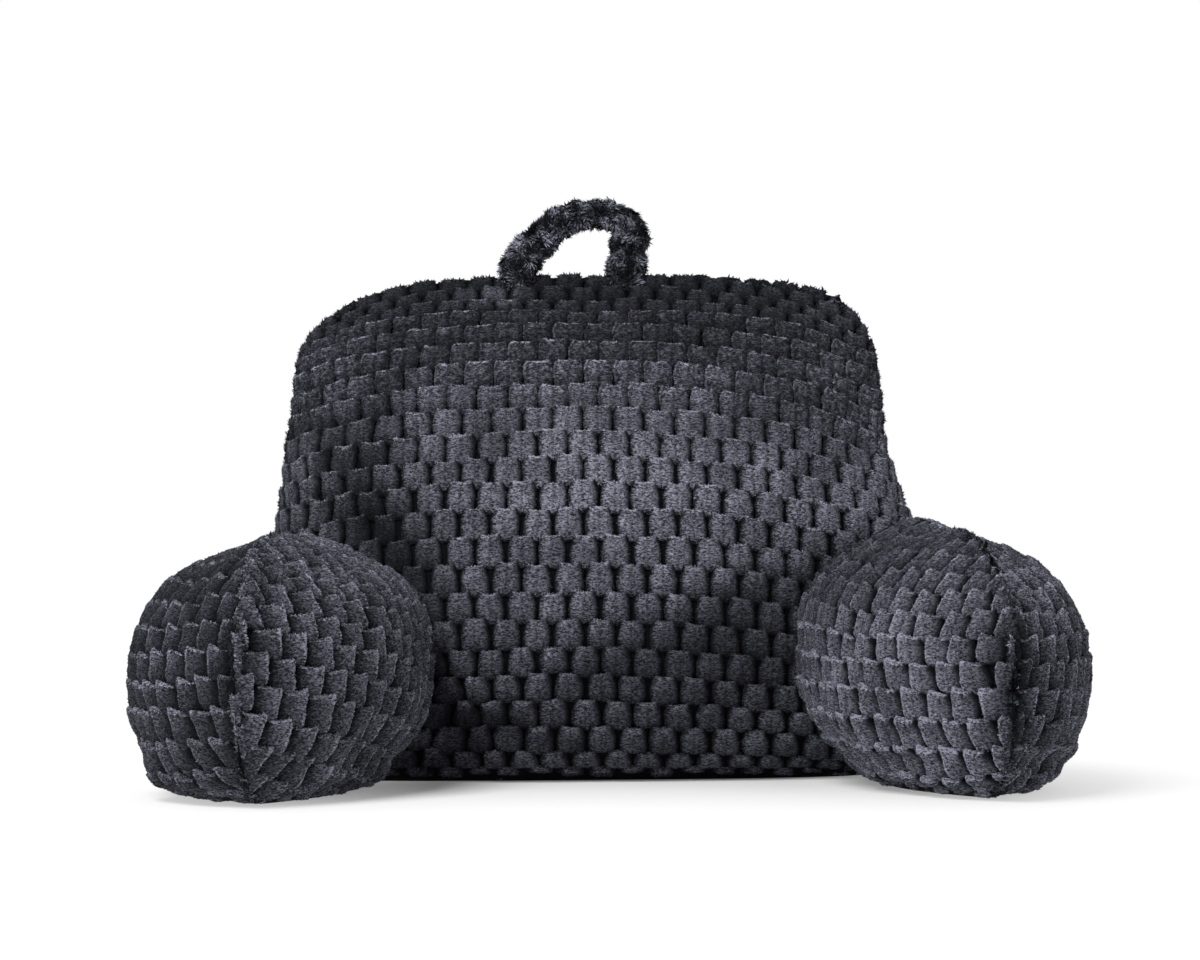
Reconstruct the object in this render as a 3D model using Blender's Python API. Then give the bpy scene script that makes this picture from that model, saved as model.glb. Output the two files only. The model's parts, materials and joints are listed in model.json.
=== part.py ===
"""A reading pillow with arms: a leaning back cushion, two bolster arms and a furry carry handle.

Run it with: blender --background --python part.py
Metres, +Z up. The sitter leans on the -Y side, and an arm lies along each side of the lap.
The origin ends up on the floor, under the middle of the whole pillow.

Every cushion is sewn from two panels that meet in a seam, and is built from a short table of levels.
A level is the line that one row of the cloth takes round the filled form. It runs from one seam,
over the front or outer panel, to the other seam, and back over the rear or inner panel.
"""

import math
from typing import NamedTuple

import bmesh
import bpy

# ---- driving sizes, in metres; y = 0 is the belly of the back cushion until the end -----------

TOUCHING_GAP = 0.0004       # left between two pieces that are sewn against each other
STEPS_BETWEEN_LEVELS = 3    # rings of faces from one row of a level table to the next
BACK_PANEL_STEPS = 24       # faces across one panel of the back cushion
ARM_PANEL_STEPS = 18        # faces along one panel of an arm
WELD_DISTANCE = 0.00002

ROW_DROP_POWER = 3.0        # rows stay level over the back's middle and drop towards its sides
ARM_FRONT_Y = -0.270        # tip of an arm's front seam
ARM_REAR_Y = 0.165          # where the two panels of an arm meet again, inside the back's side
ARM_TOP_RISE = 0.07         # how much higher the arm is at its rear end than halfway along

PLUSH = (0.030, 0.033, 0.043, 1.0)
PLUSH_ROUGHNESS = 0.95


class Bulge(NamedTuple):
    """How a panel swells out from its seam: out = (1 - along ** power) ** root."""

    power: float
    root: float


BACK_BULGE = Bulge(3.0, 1.0 / 3.0)      # squarish, with round sides
ARM_FRONT_BULGE = Bulge(2.3, 0.95)      # two panels meeting in a blunt ridge
ARM_REAR_BULGE = Bulge(2.6, 0.60)


class BackLevel(NamedTuple):
    """One row of cloth round the back cushion."""

    left_x: float
    right_x: float
    front_y: float
    front_z: float
    side_y: float
    side_z: float
    rear_y: float
    rear_z: float


BACK_LEVELS = (
    #         left_x  right_x front_y front_z side_y side_z rear_y rear_z
    BackLevel(-0.252, 0.228, 0.078, 0.000, 0.155, 0.000, 0.232, 0.000),     # rim of the flat base
    BackLevel(-0.276, 0.252, 0.046, 0.010, 0.153, 0.010, 0.260, 0.010),
    BackLevel(-0.297, 0.272, 0.018, 0.045, 0.150, 0.043, 0.282, 0.045),
    BackLevel(-0.306, 0.282, 0.002, 0.100, 0.148, 0.094, 0.291, 0.105),     # belly
    BackLevel(-0.306, 0.283, 0.008, 0.155, 0.150, 0.143, 0.292, 0.165),
    BackLevel(-0.300, 0.278, 0.028, 0.210, 0.155, 0.192, 0.289, 0.222),     # tops of the arms
    BackLevel(-0.292, 0.266, 0.058, 0.263, 0.163, 0.240, 0.285, 0.276),
    BackLevel(-0.287, 0.249, 0.096, 0.314, 0.175, 0.290, 0.281, 0.326),
    BackLevel(-0.282, 0.247, 0.138, 0.362, 0.191, 0.336, 0.275, 0.371),
    BackLevel(-0.278, 0.243, 0.178, 0.404, 0.208, 0.376, 0.266, 0.410),     # shoulders
    BackLevel(-0.260, 0.232, 0.209, 0.434, 0.222, 0.406, 0.252, 0.437),
    BackLevel(-0.230, 0.210, 0.230, 0.450, 0.230, 0.428, 0.230, 0.450),     # seam along the top
)


class ArmLevel(NamedTuple):
    """One row of cloth round an arm; breadth is a share of the arm's full reach to each side."""

    height: float
    breadth: float
    front_y: float


ARM_LEVELS = (
    #        height breadth front_y
    ArmLevel(0.000, 0.58, -0.195),      # rim of the flattened underside
    ArmLevel(0.009, 0.73, -0.230),
    ArmLevel(0.036, 0.88, -0.256),
    ArmLevel(0.075, 0.98, -0.268),
    ArmLevel(0.115, 1.00, ARM_FRONT_Y),     # fullest row
    ArmLevel(0.150, 0.94, -0.262),
    ArmLevel(0.180, 0.75, -0.240),
    ArmLevel(0.200, 0.46, -0.204),
    ArmLevel(0.213, 0.22, -0.158),
    ArmLevel(0.220, 0.00, -0.105),      # seam along the top
)


class Arm(NamedTuple):
    """Where one arm's seam runs, and how far its two panels bulge from it."""

    name: str
    side: int           # -1 for the arm at -X, +1 for the one at +X
    front_x: float
    rear_x: float
    outer_reach: float
    inner_reach: float
    plumpness: float    # its height as a share of the level table's


ARMS = (
    Arm("arm_left", -1, 0.281, 0.242, 0.120, 0.110, 1.00),
    Arm("arm_right", 1, 0.308, 0.256, 0.104, 0.116, 0.975),
)


class HandlePoint(NamedTuple):
    """A point on the middle of the carry handle, and the strap's thickness there."""

    x: float
    y: float
    z: float
    thickness: float


HANDLE_POINTS = (
    HandlePoint(-0.077, 0.229, 0.436, 0.032),       # left root, inside the back until it is cut
    HandlePoint(-0.075, 0.228, 0.455, 0.032),
    HandlePoint(-0.067, 0.226, 0.469, 0.032),
    HandlePoint(-0.055, 0.224, 0.480, 0.031),
    HandlePoint(-0.041, 0.223, 0.492, 0.028),
    HandlePoint(-0.025, 0.222, 0.500, 0.026),
    HandlePoint(-0.006, 0.222, 0.502, 0.025),
    HandlePoint(0.012, 0.223, 0.499, 0.026),
    HandlePoint(0.023, 0.225, 0.490, 0.029),
    HandlePoint(0.025, 0.227, 0.477, 0.032),
    HandlePoint(0.023, 0.229, 0.461, 0.033),
    HandlePoint(0.021, 0.230, 0.436, 0.033),        # right root
)
HANDLE_SIDES = 3            # bevel resolution: faces round the strap
HANDLE_SPAN_STEPS = 3       # faces along each span between two points


# ---- curves ------------------------------------------------------------------------------------

def between(before, start, end, after, share):
    """A point on the smooth curve from start to end, which the rows on either side guide."""
    return tuple(
        0.5 * (2 * b + (c - a) * share + (2 * a - 5 * b + 4 * c - d) * share ** 2
               + (3 * b - a - 3 * c + d) * share ** 3)
        for a, b, c, d in zip(before, start, end, after)
    )


def smooth_levels(table, steps):
    """The rows of a table, with smooth rows put in between them."""
    kind = type(table[0])
    rows = []
    for index in range(len(table) - 1):
        before = table[max(index - 1, 0)]
        after = table[min(index + 2, len(table) - 1)]
        for step in range(steps):
            rows.append(kind(*between(before, table[index], table[index + 1], after, step / steps)))
    rows.append(table[-1])
    return rows


def panel_section(first_bulge, last_bulge, count):
    """Points across one panel as (along, out): along runs -1 to 1 and out is 0 at both seams."""
    points = []
    for step in range(count + 1):
        along = math.sin(math.pi * (step / count - 0.5))
        bulge = first_bulge if along < 0.0 else last_bulge
        out = max(0.0, 1.0 - abs(along) ** bulge.power) ** bulge.root
        points.append((along, out))
    return points


# ---- cushions ----------------------------------------------------------------------------------

def material(name):
    made = bpy.data.materials.new(name)
    made.use_nodes = True
    surface = made.node_tree.nodes["Principled BSDF"]
    surface.inputs["Base Color"].default_value = PLUSH
    surface.inputs["Roughness"].default_value = PLUSH_ROUGHNESS
    surface.inputs["Metallic"].default_value = 0.0
    return made


def cushion(name, rings, parts):
    """A closed form through rings of points. The first ring is its flat base, the last is folded
    onto itself as the top seam."""
    shape = bmesh.new()
    rows = [[shape.verts.new(point) for point in ring] for ring in rings]
    for lower, upper in zip(rows, rows[1:]):
        for index in range(len(lower)):
            following = (index + 1) % len(lower)
            shape.faces.new((lower[index], lower[following], upper[following], upper[index]))
    shape.faces.new(list(reversed(rows[0])))
    bmesh.ops.remove_doubles(shape, verts=shape.verts, dist=WELD_DISTANCE)
    bmesh.ops.recalc_face_normals(shape, faces=shape.faces)
    mesh = bpy.data.meshes.new(name)
    shape.to_mesh(mesh)
    shape.free()
    mesh.materials.append(material(name + "_plush"))
    mesh.shade_smooth()
    piece = bpy.data.objects.new(name, mesh)
    parts.objects.link(piece)
    return piece


def ring_of(panel, first_side, second_side):
    """One closed row: over the first panel from seam to seam, and back over the second."""
    over = [first_side(along, out) for along, out in panel]
    back = [second_side(along, out) for along, out in reversed(panel[1:-1])]
    return over + back


def back_point(level, along, out, panel_y, panel_z):
    """A point on a panel of the back cushion, swung out from the side seam by its share."""
    middle_x = (level.left_x + level.right_x) / 2
    half_width = (level.right_x - level.left_x) / 2
    x = middle_x + half_width * along
    y = level.side_y + (panel_y - level.side_y) * out
    z = level.side_z + (panel_z - level.side_z) * (1.0 - abs(along) ** ROW_DROP_POWER)
    return (x, y, max(z, 0.0))


def back_cushion(parts):
    panel = panel_section(BACK_BULGE, BACK_BULGE, BACK_PANEL_STEPS)
    rings = []
    for level in smooth_levels(BACK_LEVELS, STEPS_BETWEEN_LEVELS):
        rings.append(ring_of(
            panel,
            lambda along, out: back_point(level, along, out, level.front_y, level.front_z),
            lambda along, out: back_point(level, along, out, level.rear_y, level.rear_z),
        ))
    return cushion("back_cushion", rings, parts)


def arm_point(arm, level, along, out, reach):
    """A point on a panel of an arm; along is -1 at the rear seam and 1 at the front seam."""
    middle_y = (ARM_REAR_Y + level.front_y) / 2
    half_length = (ARM_REAR_Y - level.front_y) / 2
    y = middle_y - half_length * along
    forward = (ARM_REAR_Y - y) / (ARM_REAR_Y - ARM_FRONT_Y)
    seam_x = arm.rear_x + (arm.front_x - arm.rear_x) * forward
    x = arm.side * (seam_x + reach * level.breadth * out)
    z = level.height * arm.plumpness * (1.0 + ARM_TOP_RISE * (1.0 - 2.0 * forward))
    return (x, y, max(z, 0.0))


def arm_cushion(arm, parts):
    panel = panel_section(ARM_REAR_BULGE, ARM_FRONT_BULGE, ARM_PANEL_STEPS)
    rings = []
    for level in smooth_levels(ARM_LEVELS, STEPS_BETWEEN_LEVELS):
        rings.append(ring_of(
            panel,
            lambda along, out: arm_point(arm, level, along, out, arm.outer_reach),
            lambda along, out: arm_point(arm, level, along, out, -arm.inner_reach),
        ))
    return cushion(arm.name, rings, parts)


# ---- handle ------------------------------------------------------------------------------------

def carry_handle(parts):
    """A filled strap bent into a loop, made a mesh so that its roots can be cut to the back."""
    curve = bpy.data.curves.new("handle_path", "CURVE")
    curve.dimensions = "3D"
    curve.bevel_depth = 0.5     # of the thickness that each point states
    curve.bevel_resolution = HANDLE_SIDES
    curve.use_fill_caps = True
    spline = curve.splines.new("POLY")
    route = smooth_levels(HANDLE_POINTS, HANDLE_SPAN_STEPS)
    spline.points.add(len(route) - 1)
    for point, place in zip(spline.points, route):
        point.co = (place.x, place.y, place.z, 1.0)
        point.radius = place.thickness
    path = bpy.data.objects.new("handle_path", curve)
    parts.objects.link(path)
    evaluated = path.evaluated_get(bpy.context.evaluated_depsgraph_get())
    mesh = bpy.data.meshes.new_from_object(evaluated)
    shape = bmesh.new()
    shape.from_mesh(mesh)
    bmesh.ops.remove_doubles(shape, verts=shape.verts, dist=WELD_DISTANCE)
    bmesh.ops.recalc_face_normals(shape, faces=shape.faces)
    shape.to_mesh(mesh)
    shape.free()
    mesh.materials.clear()
    mesh.materials.append(material("carry_handle_plush"))
    mesh.shade_smooth()
    strap = bpy.data.objects.new("carry_handle", mesh)
    strap.matrix_world = path.matrix_world
    parts.objects.link(strap)
    bpy.data.objects.remove(path)
    return strap


# ---- assembly ----------------------------------------------------------------------------------

def grown_back(back, cutters):
    """The back cushion a hair larger all round, to cut what is sewn against it."""
    cutter = back.copy()
    cutter.data = back.data.copy()
    cutter.name = "back_cutter"
    swell = cutter.modifiers.new("swell", "DISPLACE")
    swell.strength = TOUCHING_GAP
    swell.mid_level = 0.0
    cutter.hide_render = True
    cutter.display_type = "WIRE"
    cutters.objects.link(cutter)
    return cutter


def cut_by(piece, cutter):
    trim = piece.modifiers.new("sewn_to_back", "BOOLEAN")
    trim.operation = "DIFFERENCE"
    trim.solver = "EXACT"
    trim.object = cutter


def bounds(pieces):
    """Lowest and highest corner of the finished pieces."""
    bpy.context.view_layer.update()
    scene = bpy.context.evaluated_depsgraph_get()
    corners = []
    for piece in pieces:
        finished = piece.evaluated_get(scene)
        corners += [finished.matrix_world @ vertex.co for vertex in finished.data.vertices]
    low = [min(corner[axis] for corner in corners) for axis in range(3)]
    high = [max(corner[axis] for corner in corners) for axis in range(3)]
    return low, high


def stand_on_origin(pieces, cutter):
    """Moves everything so that the origin is under the middle of the pillow, on the floor."""
    low, high = bounds(pieces)
    for piece in (*pieces, cutter):
        piece.location.x -= (low[0] + high[0]) / 2
        piece.location.y -= (low[1] + high[1]) / 2
        piece.location.z -= low[2]


def main():
    for old in list(bpy.data.objects):
        bpy.data.objects.remove(old)
    parts = bpy.data.collections.new("reading_pillow")
    cutters = bpy.data.collections.new("cutters")
    bpy.context.scene.collection.children.link(parts)
    bpy.context.scene.collection.children.link(cutters)

    back = back_cushion(parts)
    arms = [arm_cushion(arm, parts) for arm in ARMS]
    handle = carry_handle(parts)
    cutter = grown_back(back, cutters)
    for piece in (*arms, handle):
        cut_by(piece, cutter)
    stand_on_origin((back, *arms, handle), cutter)


main()
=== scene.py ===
"""The looks of a reading pillow with arms: tufted plush cushions, short pile and a furry handle.

Metres throughout, in the frame's own place: +Z up, and the sitter leans on the -Y side.
Each cushion is two cloth panels sewn round the edge. A panel is first shaped as a fine grid that
knows where every point lies on the flat cloth. The tufts and the pile then follow that grid.
"""

import functools
import json
import math
from typing import NamedTuple

import bmesh
import bpy
import numpy as np
from bpy.props import (
    FloatProperty,
    FloatVectorProperty,
    IntProperty,
    PointerProperty,
)
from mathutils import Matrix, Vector
from mathutils import noise as smooth_noise
from mathutils.bvhtree import BVHTree

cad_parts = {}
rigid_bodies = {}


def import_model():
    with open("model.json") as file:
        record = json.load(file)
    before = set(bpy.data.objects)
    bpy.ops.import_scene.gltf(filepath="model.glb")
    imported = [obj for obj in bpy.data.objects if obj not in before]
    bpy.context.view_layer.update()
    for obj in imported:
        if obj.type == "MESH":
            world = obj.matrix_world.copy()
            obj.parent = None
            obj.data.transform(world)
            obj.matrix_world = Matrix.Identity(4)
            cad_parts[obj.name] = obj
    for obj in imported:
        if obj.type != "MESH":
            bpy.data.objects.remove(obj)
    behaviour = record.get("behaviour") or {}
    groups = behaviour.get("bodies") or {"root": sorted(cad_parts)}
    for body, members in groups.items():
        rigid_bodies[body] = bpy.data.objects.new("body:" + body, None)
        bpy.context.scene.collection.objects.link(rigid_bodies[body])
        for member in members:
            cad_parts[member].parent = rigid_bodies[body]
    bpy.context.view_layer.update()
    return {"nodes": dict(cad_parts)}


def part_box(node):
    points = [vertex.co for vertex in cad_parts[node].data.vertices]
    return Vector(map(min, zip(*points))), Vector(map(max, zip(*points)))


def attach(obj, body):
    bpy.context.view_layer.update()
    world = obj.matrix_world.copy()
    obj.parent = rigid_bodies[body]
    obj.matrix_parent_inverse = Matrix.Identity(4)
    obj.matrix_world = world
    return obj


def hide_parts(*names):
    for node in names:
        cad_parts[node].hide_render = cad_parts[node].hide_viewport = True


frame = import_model()

bl_info = {
    "name": "Reading pillow with arms",
    "version": (1, 0, 0),
    "blender": (4, 5, 0),
    "location": "View3D > Sidebar > Pillow",
    "description": "Dresses a reading pillow with tufted plush, short pile and a furry handle",
    "category": "Object",
}

# ---- shape of the filled forms, in metres, with y = 0 at the belly of the back -----------------

STEPS_BETWEEN_LEVELS = 5    # grid rows from one row of a level table to the next
BACK_PANEL_STEPS = 80       # grid columns across a panel of the back
ARM_PANEL_STEPS = 60        # grid columns along a panel of an arm
ROW_DROP_POWER = 3.0        # how late a row of cloth on the back falls towards its side seam
BACK_MIDDLE_X = -0.007      # where the tuft columns of the back are counted from
BACK_LEAN = 0.0035          # how far the filled back leans towards +X
ARM_FRONT_Y = -0.270
ARM_REAR_Y = 0.165
ARM_FOOT = 0.045            # height over which an arm is drawn in towards the floor
FOLD_DEPTH = 0.010          # of the rolls at an arm's foot
FOLD_START = 0.010          # height over which they begin
FOLD_SCALE = 28.0
FOLD_STRETCH = np.array((0.45, 0.45, 2.6))      # the rolls are long and low
SEAM_REACH = 0.03           # how far from a seam or the floor the cloth is still held


class Bulge(NamedTuple):
    """How a panel swells out from its seam: out = (1 - along ** power) ** root."""

    power: float
    root: float


BACK_BULGE = Bulge(3.0, 1.0 / 3.0)
ARM_FRONT_BULGE = Bulge(2.3, 0.95)
ARM_REAR_BULGE = Bulge(2.6, 0.60)


class BackLevel(NamedTuple):
    """One line of cloth round the back cushion; row counts the tuft rows up its front."""

    left_x: float
    right_x: float
    front_y: float
    front_z: float
    side_y: float
    side_z: float
    rear_y: float
    rear_z: float
    row: float


BACK_LEVELS = (
    #         left_x  right_x front_y front_z side_y side_z rear_y rear_z row
    BackLevel(-0.252, 0.228, 0.078, 0.000, 0.155, 0.000, 0.232, 0.000, -3.00),
    BackLevel(-0.276, 0.252, 0.046, 0.010, 0.153, 0.010, 0.260, 0.010, -1.50),
    BackLevel(-0.297, 0.272, 0.018, 0.045, 0.150, 0.043, 0.282, 0.045, 0.17),
    BackLevel(-0.306, 0.282, 0.002, 0.100, 0.148, 0.094, 0.291, 0.105, 2.54),
    BackLevel(-0.306, 0.283, 0.008, 0.155, 0.150, 0.143, 0.292, 0.165, 4.84),
    BackLevel(-0.300, 0.278, 0.028, 0.210, 0.155, 0.192, 0.289, 0.222, 7.16),
    BackLevel(-0.292, 0.266, 0.058, 0.263, 0.163, 0.240, 0.285, 0.276, 9.50),
    BackLevel(-0.287, 0.249, 0.096, 0.314, 0.175, 0.290, 0.281, 0.326, 11.82),
    BackLevel(-0.282, 0.247, 0.138, 0.362, 0.191, 0.336, 0.275, 0.371, 14.10),
    BackLevel(-0.278, 0.243, 0.178, 0.404, 0.208, 0.376, 0.266, 0.410, 16.45),
    BackLevel(-0.260, 0.232, 0.209, 0.434, 0.222, 0.406, 0.252, 0.437, 18.75),
    BackLevel(-0.230, 0.210, 0.230, 0.450, 0.230, 0.428, 0.230, 0.450, 20.20),
)


class Crease(NamedTuple):
    """A furrow pulled across the front of the back cushion, from one point to another."""

    start_x: float
    start_z: float
    end_x: float
    end_z: float
    depth: float
    width: float


CREASES = (
    #      start_x start_z end_x   end_z  depth  width
    Crease(-0.275, 0.305, -0.190, 0.318, 0.008, 0.011),
    Crease(-0.245, 0.276, -0.170, 0.290, 0.009, 0.012),
    Crease(-0.250, 0.240, -0.205, 0.215, 0.008, 0.013),
    Crease(-0.150, 0.095, -0.120, 0.020, 0.010, 0.016),
    Crease(-0.215, 0.060, -0.085, 0.050, 0.007, 0.014),
    Crease(0.225, 0.285, 0.165, 0.255, 0.006, 0.011),
)
# Where the cloth of the back lies crumpled: x, z and how far it reaches.
CRUMPLED = ((-0.150, 0.050, 0.075), (-0.235, 0.265, 0.055), (-0.105, 0.440, 0.035))


class ArmLevel(NamedTuple):
    """One line of cloth round an arm; breadth is a share of the arm's full reach."""

    height: float
    breadth: float
    front_y: float
    row: float


ARM_LEVELS = (
    #        height breadth front_y row
    ArmLevel(0.000, 0.58, -0.172, -2.50),
    ArmLevel(0.009, 0.73, -0.213, -1.15),
    ArmLevel(0.036, 0.88, -0.250, 0.34),
    ArmLevel(0.075, 0.98, -0.268, 1.90),
    ArmLevel(0.115, 1.00, ARM_FRONT_Y, 3.56),
    ArmLevel(0.150, 0.94, -0.262, 5.20),
    ArmLevel(0.180, 0.75, -0.240, 6.80),
    ArmLevel(0.200, 0.46, -0.204, 8.35),
    ArmLevel(0.213, 0.22, -0.158, 9.60),
    ArmLevel(0.220, 0.00, -0.105, 10.80),
)


class ArmPanel(NamedTuple):
    """One of an arm's two panels of cloth, and the painted light and shade on its pile."""

    reach: float            # how far the panel swells out from the seams
    foot: float             # its breadth at the floor, as a share of the table's
    tilt: float             # rows that its cloth falls for each metre away from the front seam
    slant: float            # how far its tufts overlap like shingles
    brushed: float          # painted light and shade of its pile, by how it faces the lamps
    top_light: float        # painted light at its top and at its foot, as shares of that
    foot_light: float
    seam_shade: float       # painted shade beside the front seam: how much darker the pile is there
    seam_reach: float       # how far that painted shade reaches from the seam


class Arm(NamedTuple):
    """An arm's seam, its two panels, and how its cloth lies on it."""

    node: str
    side: int               # -1 for the arm at -X, +1 for the one at +X
    front_x: float          # how far from the middle its seam runs, at its front and its rear
    rear_x: float
    plumpness: float        # its height, as a share of the level table's
    top_rise: float         # how much higher the arm is at its rear than in its middle
    row_shift: float        # rows that this arm's cloth sits higher than the level table's
    column_start: float     # from the front seam to the middle of its first whole tuft
    seam_brushed: float     # painted light of the pile on its front seam
    outer: ArmPanel
    inner: ArmPanel


LEFT_OUTER = ArmPanel(
    reach=0.120, foot=1.08, tilt=1.2, slant=1.0, brushed=0.21,
    top_light=0.62, foot_light=1.7, seam_shade=0.95, seam_reach=0.016)
LEFT_INNER = ArmPanel(
    reach=0.110, foot=0.74, tilt=8.1, slant=1.0, brushed=0.34,
    top_light=1.40, foot_light=1.5, seam_shade=0.00, seam_reach=0.020)
RIGHT_OUTER = ArmPanel(
    reach=0.101, foot=1.00, tilt=1.2, slant=1.0, brushed=0.40,
    top_light=1.35, foot_light=0.9, seam_shade=0.98, seam_reach=0.032)
RIGHT_INNER = ArmPanel(
    reach=0.116, foot=0.66, tilt=0.6, slant=0.6, brushed=0.88,
    top_light=0.36, foot_light=1.0, seam_shade=0.72, seam_reach=0.034)
ARMS = (
    Arm("arm_left", side=-1, front_x=0.281, rear_x=0.242, plumpness=0.965, top_rise=-0.02,
        row_shift=0.0, column_start=0.0185, seam_brushed=0.75, outer=LEFT_OUTER,
        inner=LEFT_INNER),
    Arm("arm_right", side=1, front_x=0.308, rear_x=0.256, plumpness=0.975, top_rise=0.07,
        row_shift=0.35, column_start=0.0077, seam_brushed=0.16, outer=RIGHT_OUTER,
        inner=RIGHT_INNER),
)


class HandlePoint(NamedTuple):
    """A point on the middle of the carry handle, and the strap's thickness there."""

    x: float
    y: float
    z: float
    thickness: float


HANDLE_POINTS = (
    HandlePoint(-0.077, 0.229, 0.436, 0.032),
    HandlePoint(-0.075, 0.228, 0.455, 0.032),
    HandlePoint(-0.067, 0.226, 0.469, 0.032),
    HandlePoint(-0.055, 0.224, 0.480, 0.031),
    HandlePoint(-0.041, 0.223, 0.492, 0.028),
    HandlePoint(-0.025, 0.222, 0.500, 0.026),
    HandlePoint(-0.006, 0.222, 0.502, 0.025),
    HandlePoint(0.012, 0.223, 0.499, 0.026),
    HandlePoint(0.023, 0.225, 0.490, 0.029),
    HandlePoint(0.025, 0.227, 0.477, 0.032),
    HandlePoint(0.023, 0.229, 0.461, 0.033),
    HandlePoint(0.021, 0.230, 0.436, 0.033),
)
HANDLE_SIDES = 28
HANDLE_SPAN_STEPS = 8
HANDLE_INSET = 0.0012       # how far its cloth lies under the tips of its fur

# The tables' own origin, found from where the frame holds the back cushion.
_, BACK_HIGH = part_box("back_cushion")
TABLE_TO_FRAME = np.array((
    BACK_HIGH.x - max(level.right_x for level in BACK_LEVELS),
    BACK_HIGH.y - max(level.rear_y for level in BACK_LEVELS),
    0.0,
))

# ---- curves ------------------------------------------------------------------------------------


def between(before, start, end, after, share):
    """A point on the smooth curve from start to end, which the rows on either side guide."""
    return tuple(
        0.5 * (2 * b + (c - a) * share + (2 * a - 5 * b + 4 * c - d) * share ** 2
               + (3 * b - a - 3 * c + d) * share ** 3)
        for a, b, c, d in zip(before, start, end, after)
    )


def smooth_levels(table, steps):
    """The rows of a table, with smooth rows put in between them."""
    kind = type(table[0])
    rows = []
    for index in range(len(table) - 1):
        before = table[max(index - 1, 0)]
        after = table[min(index + 2, len(table) - 1)]
        for step in range(steps):
            rows.append(kind(*between(before, table[index], table[index + 1], after, step / steps)))
    rows.append(table[-1])
    return rows


def panel_section(first_bulge, last_bulge, count):
    """Points across one panel as (along, out): along runs -1 to 1 and out is 0 at both seams."""
    points = []
    for step in range(count + 1):
        along = math.sin(math.pi * (step / count - 0.5))
        bulge = first_bulge if along < 0.0 else last_bulge
        out = max(0.0, 1.0 - abs(along) ** bulge.power) ** bulge.root
        points.append((along, out))
    return points


def smoothstep(low, high, value):
    share = np.clip((value - low) / (high - low), 0.0, 1.0)
    return share * share * (3.0 - 2.0 * share)


# ---- forms: closed grids of two panels ---------------------------------------------------------


class Form:
    """A filled form of two panels. first and second are grids of points, (rows, columns, 3),
    that share their side seams and their last row; row is the tuft row of each grid row."""

    def __init__(self, first, second, row):
        self.first = first
        self.second = second
        self.row = row

    def indices(self):
        """Vertex numbers of both grids in the closed mesh, seams shared."""
        rows, columns, _ = self.first.shape
        first = np.arange(rows * columns).reshape(rows, columns)
        second = first.copy()
        inner = np.arange((rows - 1) * (columns - 2)).reshape(rows - 1, columns - 2)
        second[:-1, 1:-1] = rows * columns + inner
        return first, second

    def closed_mesh(self, name):
        """The whole form as one closed mesh; faces point outwards when the first panel's do."""
        first, second = self.indices()
        points = np.zeros((max(first.max(), second.max()) + 1, 3))
        points[second] = self.second
        points[first] = self.first
        faces = []
        for grid, flip in ((first, False), (second, True)):
            for j in range(grid.shape[0] - 1):
                for i in range(grid.shape[1] - 1):
                    face = [grid[j, i], grid[j, i + 1], grid[j + 1, i + 1], grid[j + 1, i]]
                    if flip:
                        face.reverse()
                    faces.append([int(v) for v in face])
        base = [int(v) for v in first[0]] + [int(v) for v in second[0][-2:0:-1]]
        faces.append(list(reversed(base)))
        mesh = bpy.data.meshes.new(name)
        mesh.from_pydata(points.tolist(), [], faces)
        mesh.validate()
        mesh.update()
        return mesh

    def surface(self):
        """The closed mesh's points and their outward ways."""
        mesh = self.closed_mesh("surface_probe")
        points, normals = points_of(mesh), normals_of(mesh)
        bpy.data.meshes.remove(mesh)
        return points, normals

    def take(self, points):
        """Takes the points of a moved closed mesh back into both grids."""
        first, second = self.indices()
        self.first = points[first]
        self.second = points[second]


def back_form():
    """The back cushion: a front and a rear panel that lean back together."""
    panel = panel_section(BACK_BULGE, BACK_BULGE, BACK_PANEL_STEPS)
    levels = smooth_levels(BACK_LEVELS, STEPS_BETWEEN_LEVELS)
    grids = []
    for sheet in ("front", "rear"):
        grid = np.zeros((len(levels), len(panel), 3))
        for j, level in enumerate(levels):
            panel_y = level.front_y if sheet == "front" else level.rear_y
            panel_z = level.front_z if sheet == "front" else level.rear_z
            middle = (level.left_x + level.right_x) / 2 + BACK_LEAN
            half = (level.right_x - level.left_x) / 2
            for i, (along, out) in enumerate(panel):
                drop = 1.0 - abs(along) ** ROW_DROP_POWER
                grid[j, i] = (
                    middle + half * along,
                    level.side_y + (panel_y - level.side_y) * out,
                    max(level.side_z + (panel_z - level.side_z) * drop, 0.0),
                )
        grids.append(grid + TABLE_TO_FRAME)
    return Form(grids[0], grids[1], np.array([level.row for level in levels]))


def arm_form(arm):
    """One arm: two panels sewn along its front end and its top."""
    panel = panel_section(ARM_REAR_BULGE, ARM_FRONT_BULGE, ARM_PANEL_STEPS)
    levels = smooth_levels(ARM_LEVELS, STEPS_BETWEEN_LEVELS)
    grids = []
    for reach, at_foot in ((arm.outer.reach, arm.outer.foot), (-arm.inner.reach, arm.inner.foot)):
        grid = np.zeros((len(levels), len(panel), 3))
        for j, level in enumerate(levels):
            drawn_in = 1.0 + (at_foot - 1.0) * math.exp(-(level.height / ARM_FOOT) ** 2)
            middle = (ARM_REAR_Y + level.front_y) / 2
            half = (ARM_REAR_Y - level.front_y) / 2
            for i, (along, out) in enumerate(panel):
                y = middle - half * along
                forward = (ARM_REAR_Y - y) / (ARM_REAR_Y - ARM_FRONT_Y)
                seam_x = arm.rear_x + (arm.front_x - arm.rear_x) * forward
                rise = 1.0 + arm.top_rise * (1.0 - 2.0 * forward)
                grid[j, i] = (
                    arm.side * (seam_x + reach * level.breadth * drawn_in * out),
                    y,
                    max(level.height * arm.plumpness * rise, 0.0),
                )
        grids.append(grid + TABLE_TO_FRAME)
    if arm.side > 0:
        grids.reverse()         # the panel that faces -X comes first on either arm
    return Form(grids[0], grids[1], np.array([level.row for level in levels]))


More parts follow.
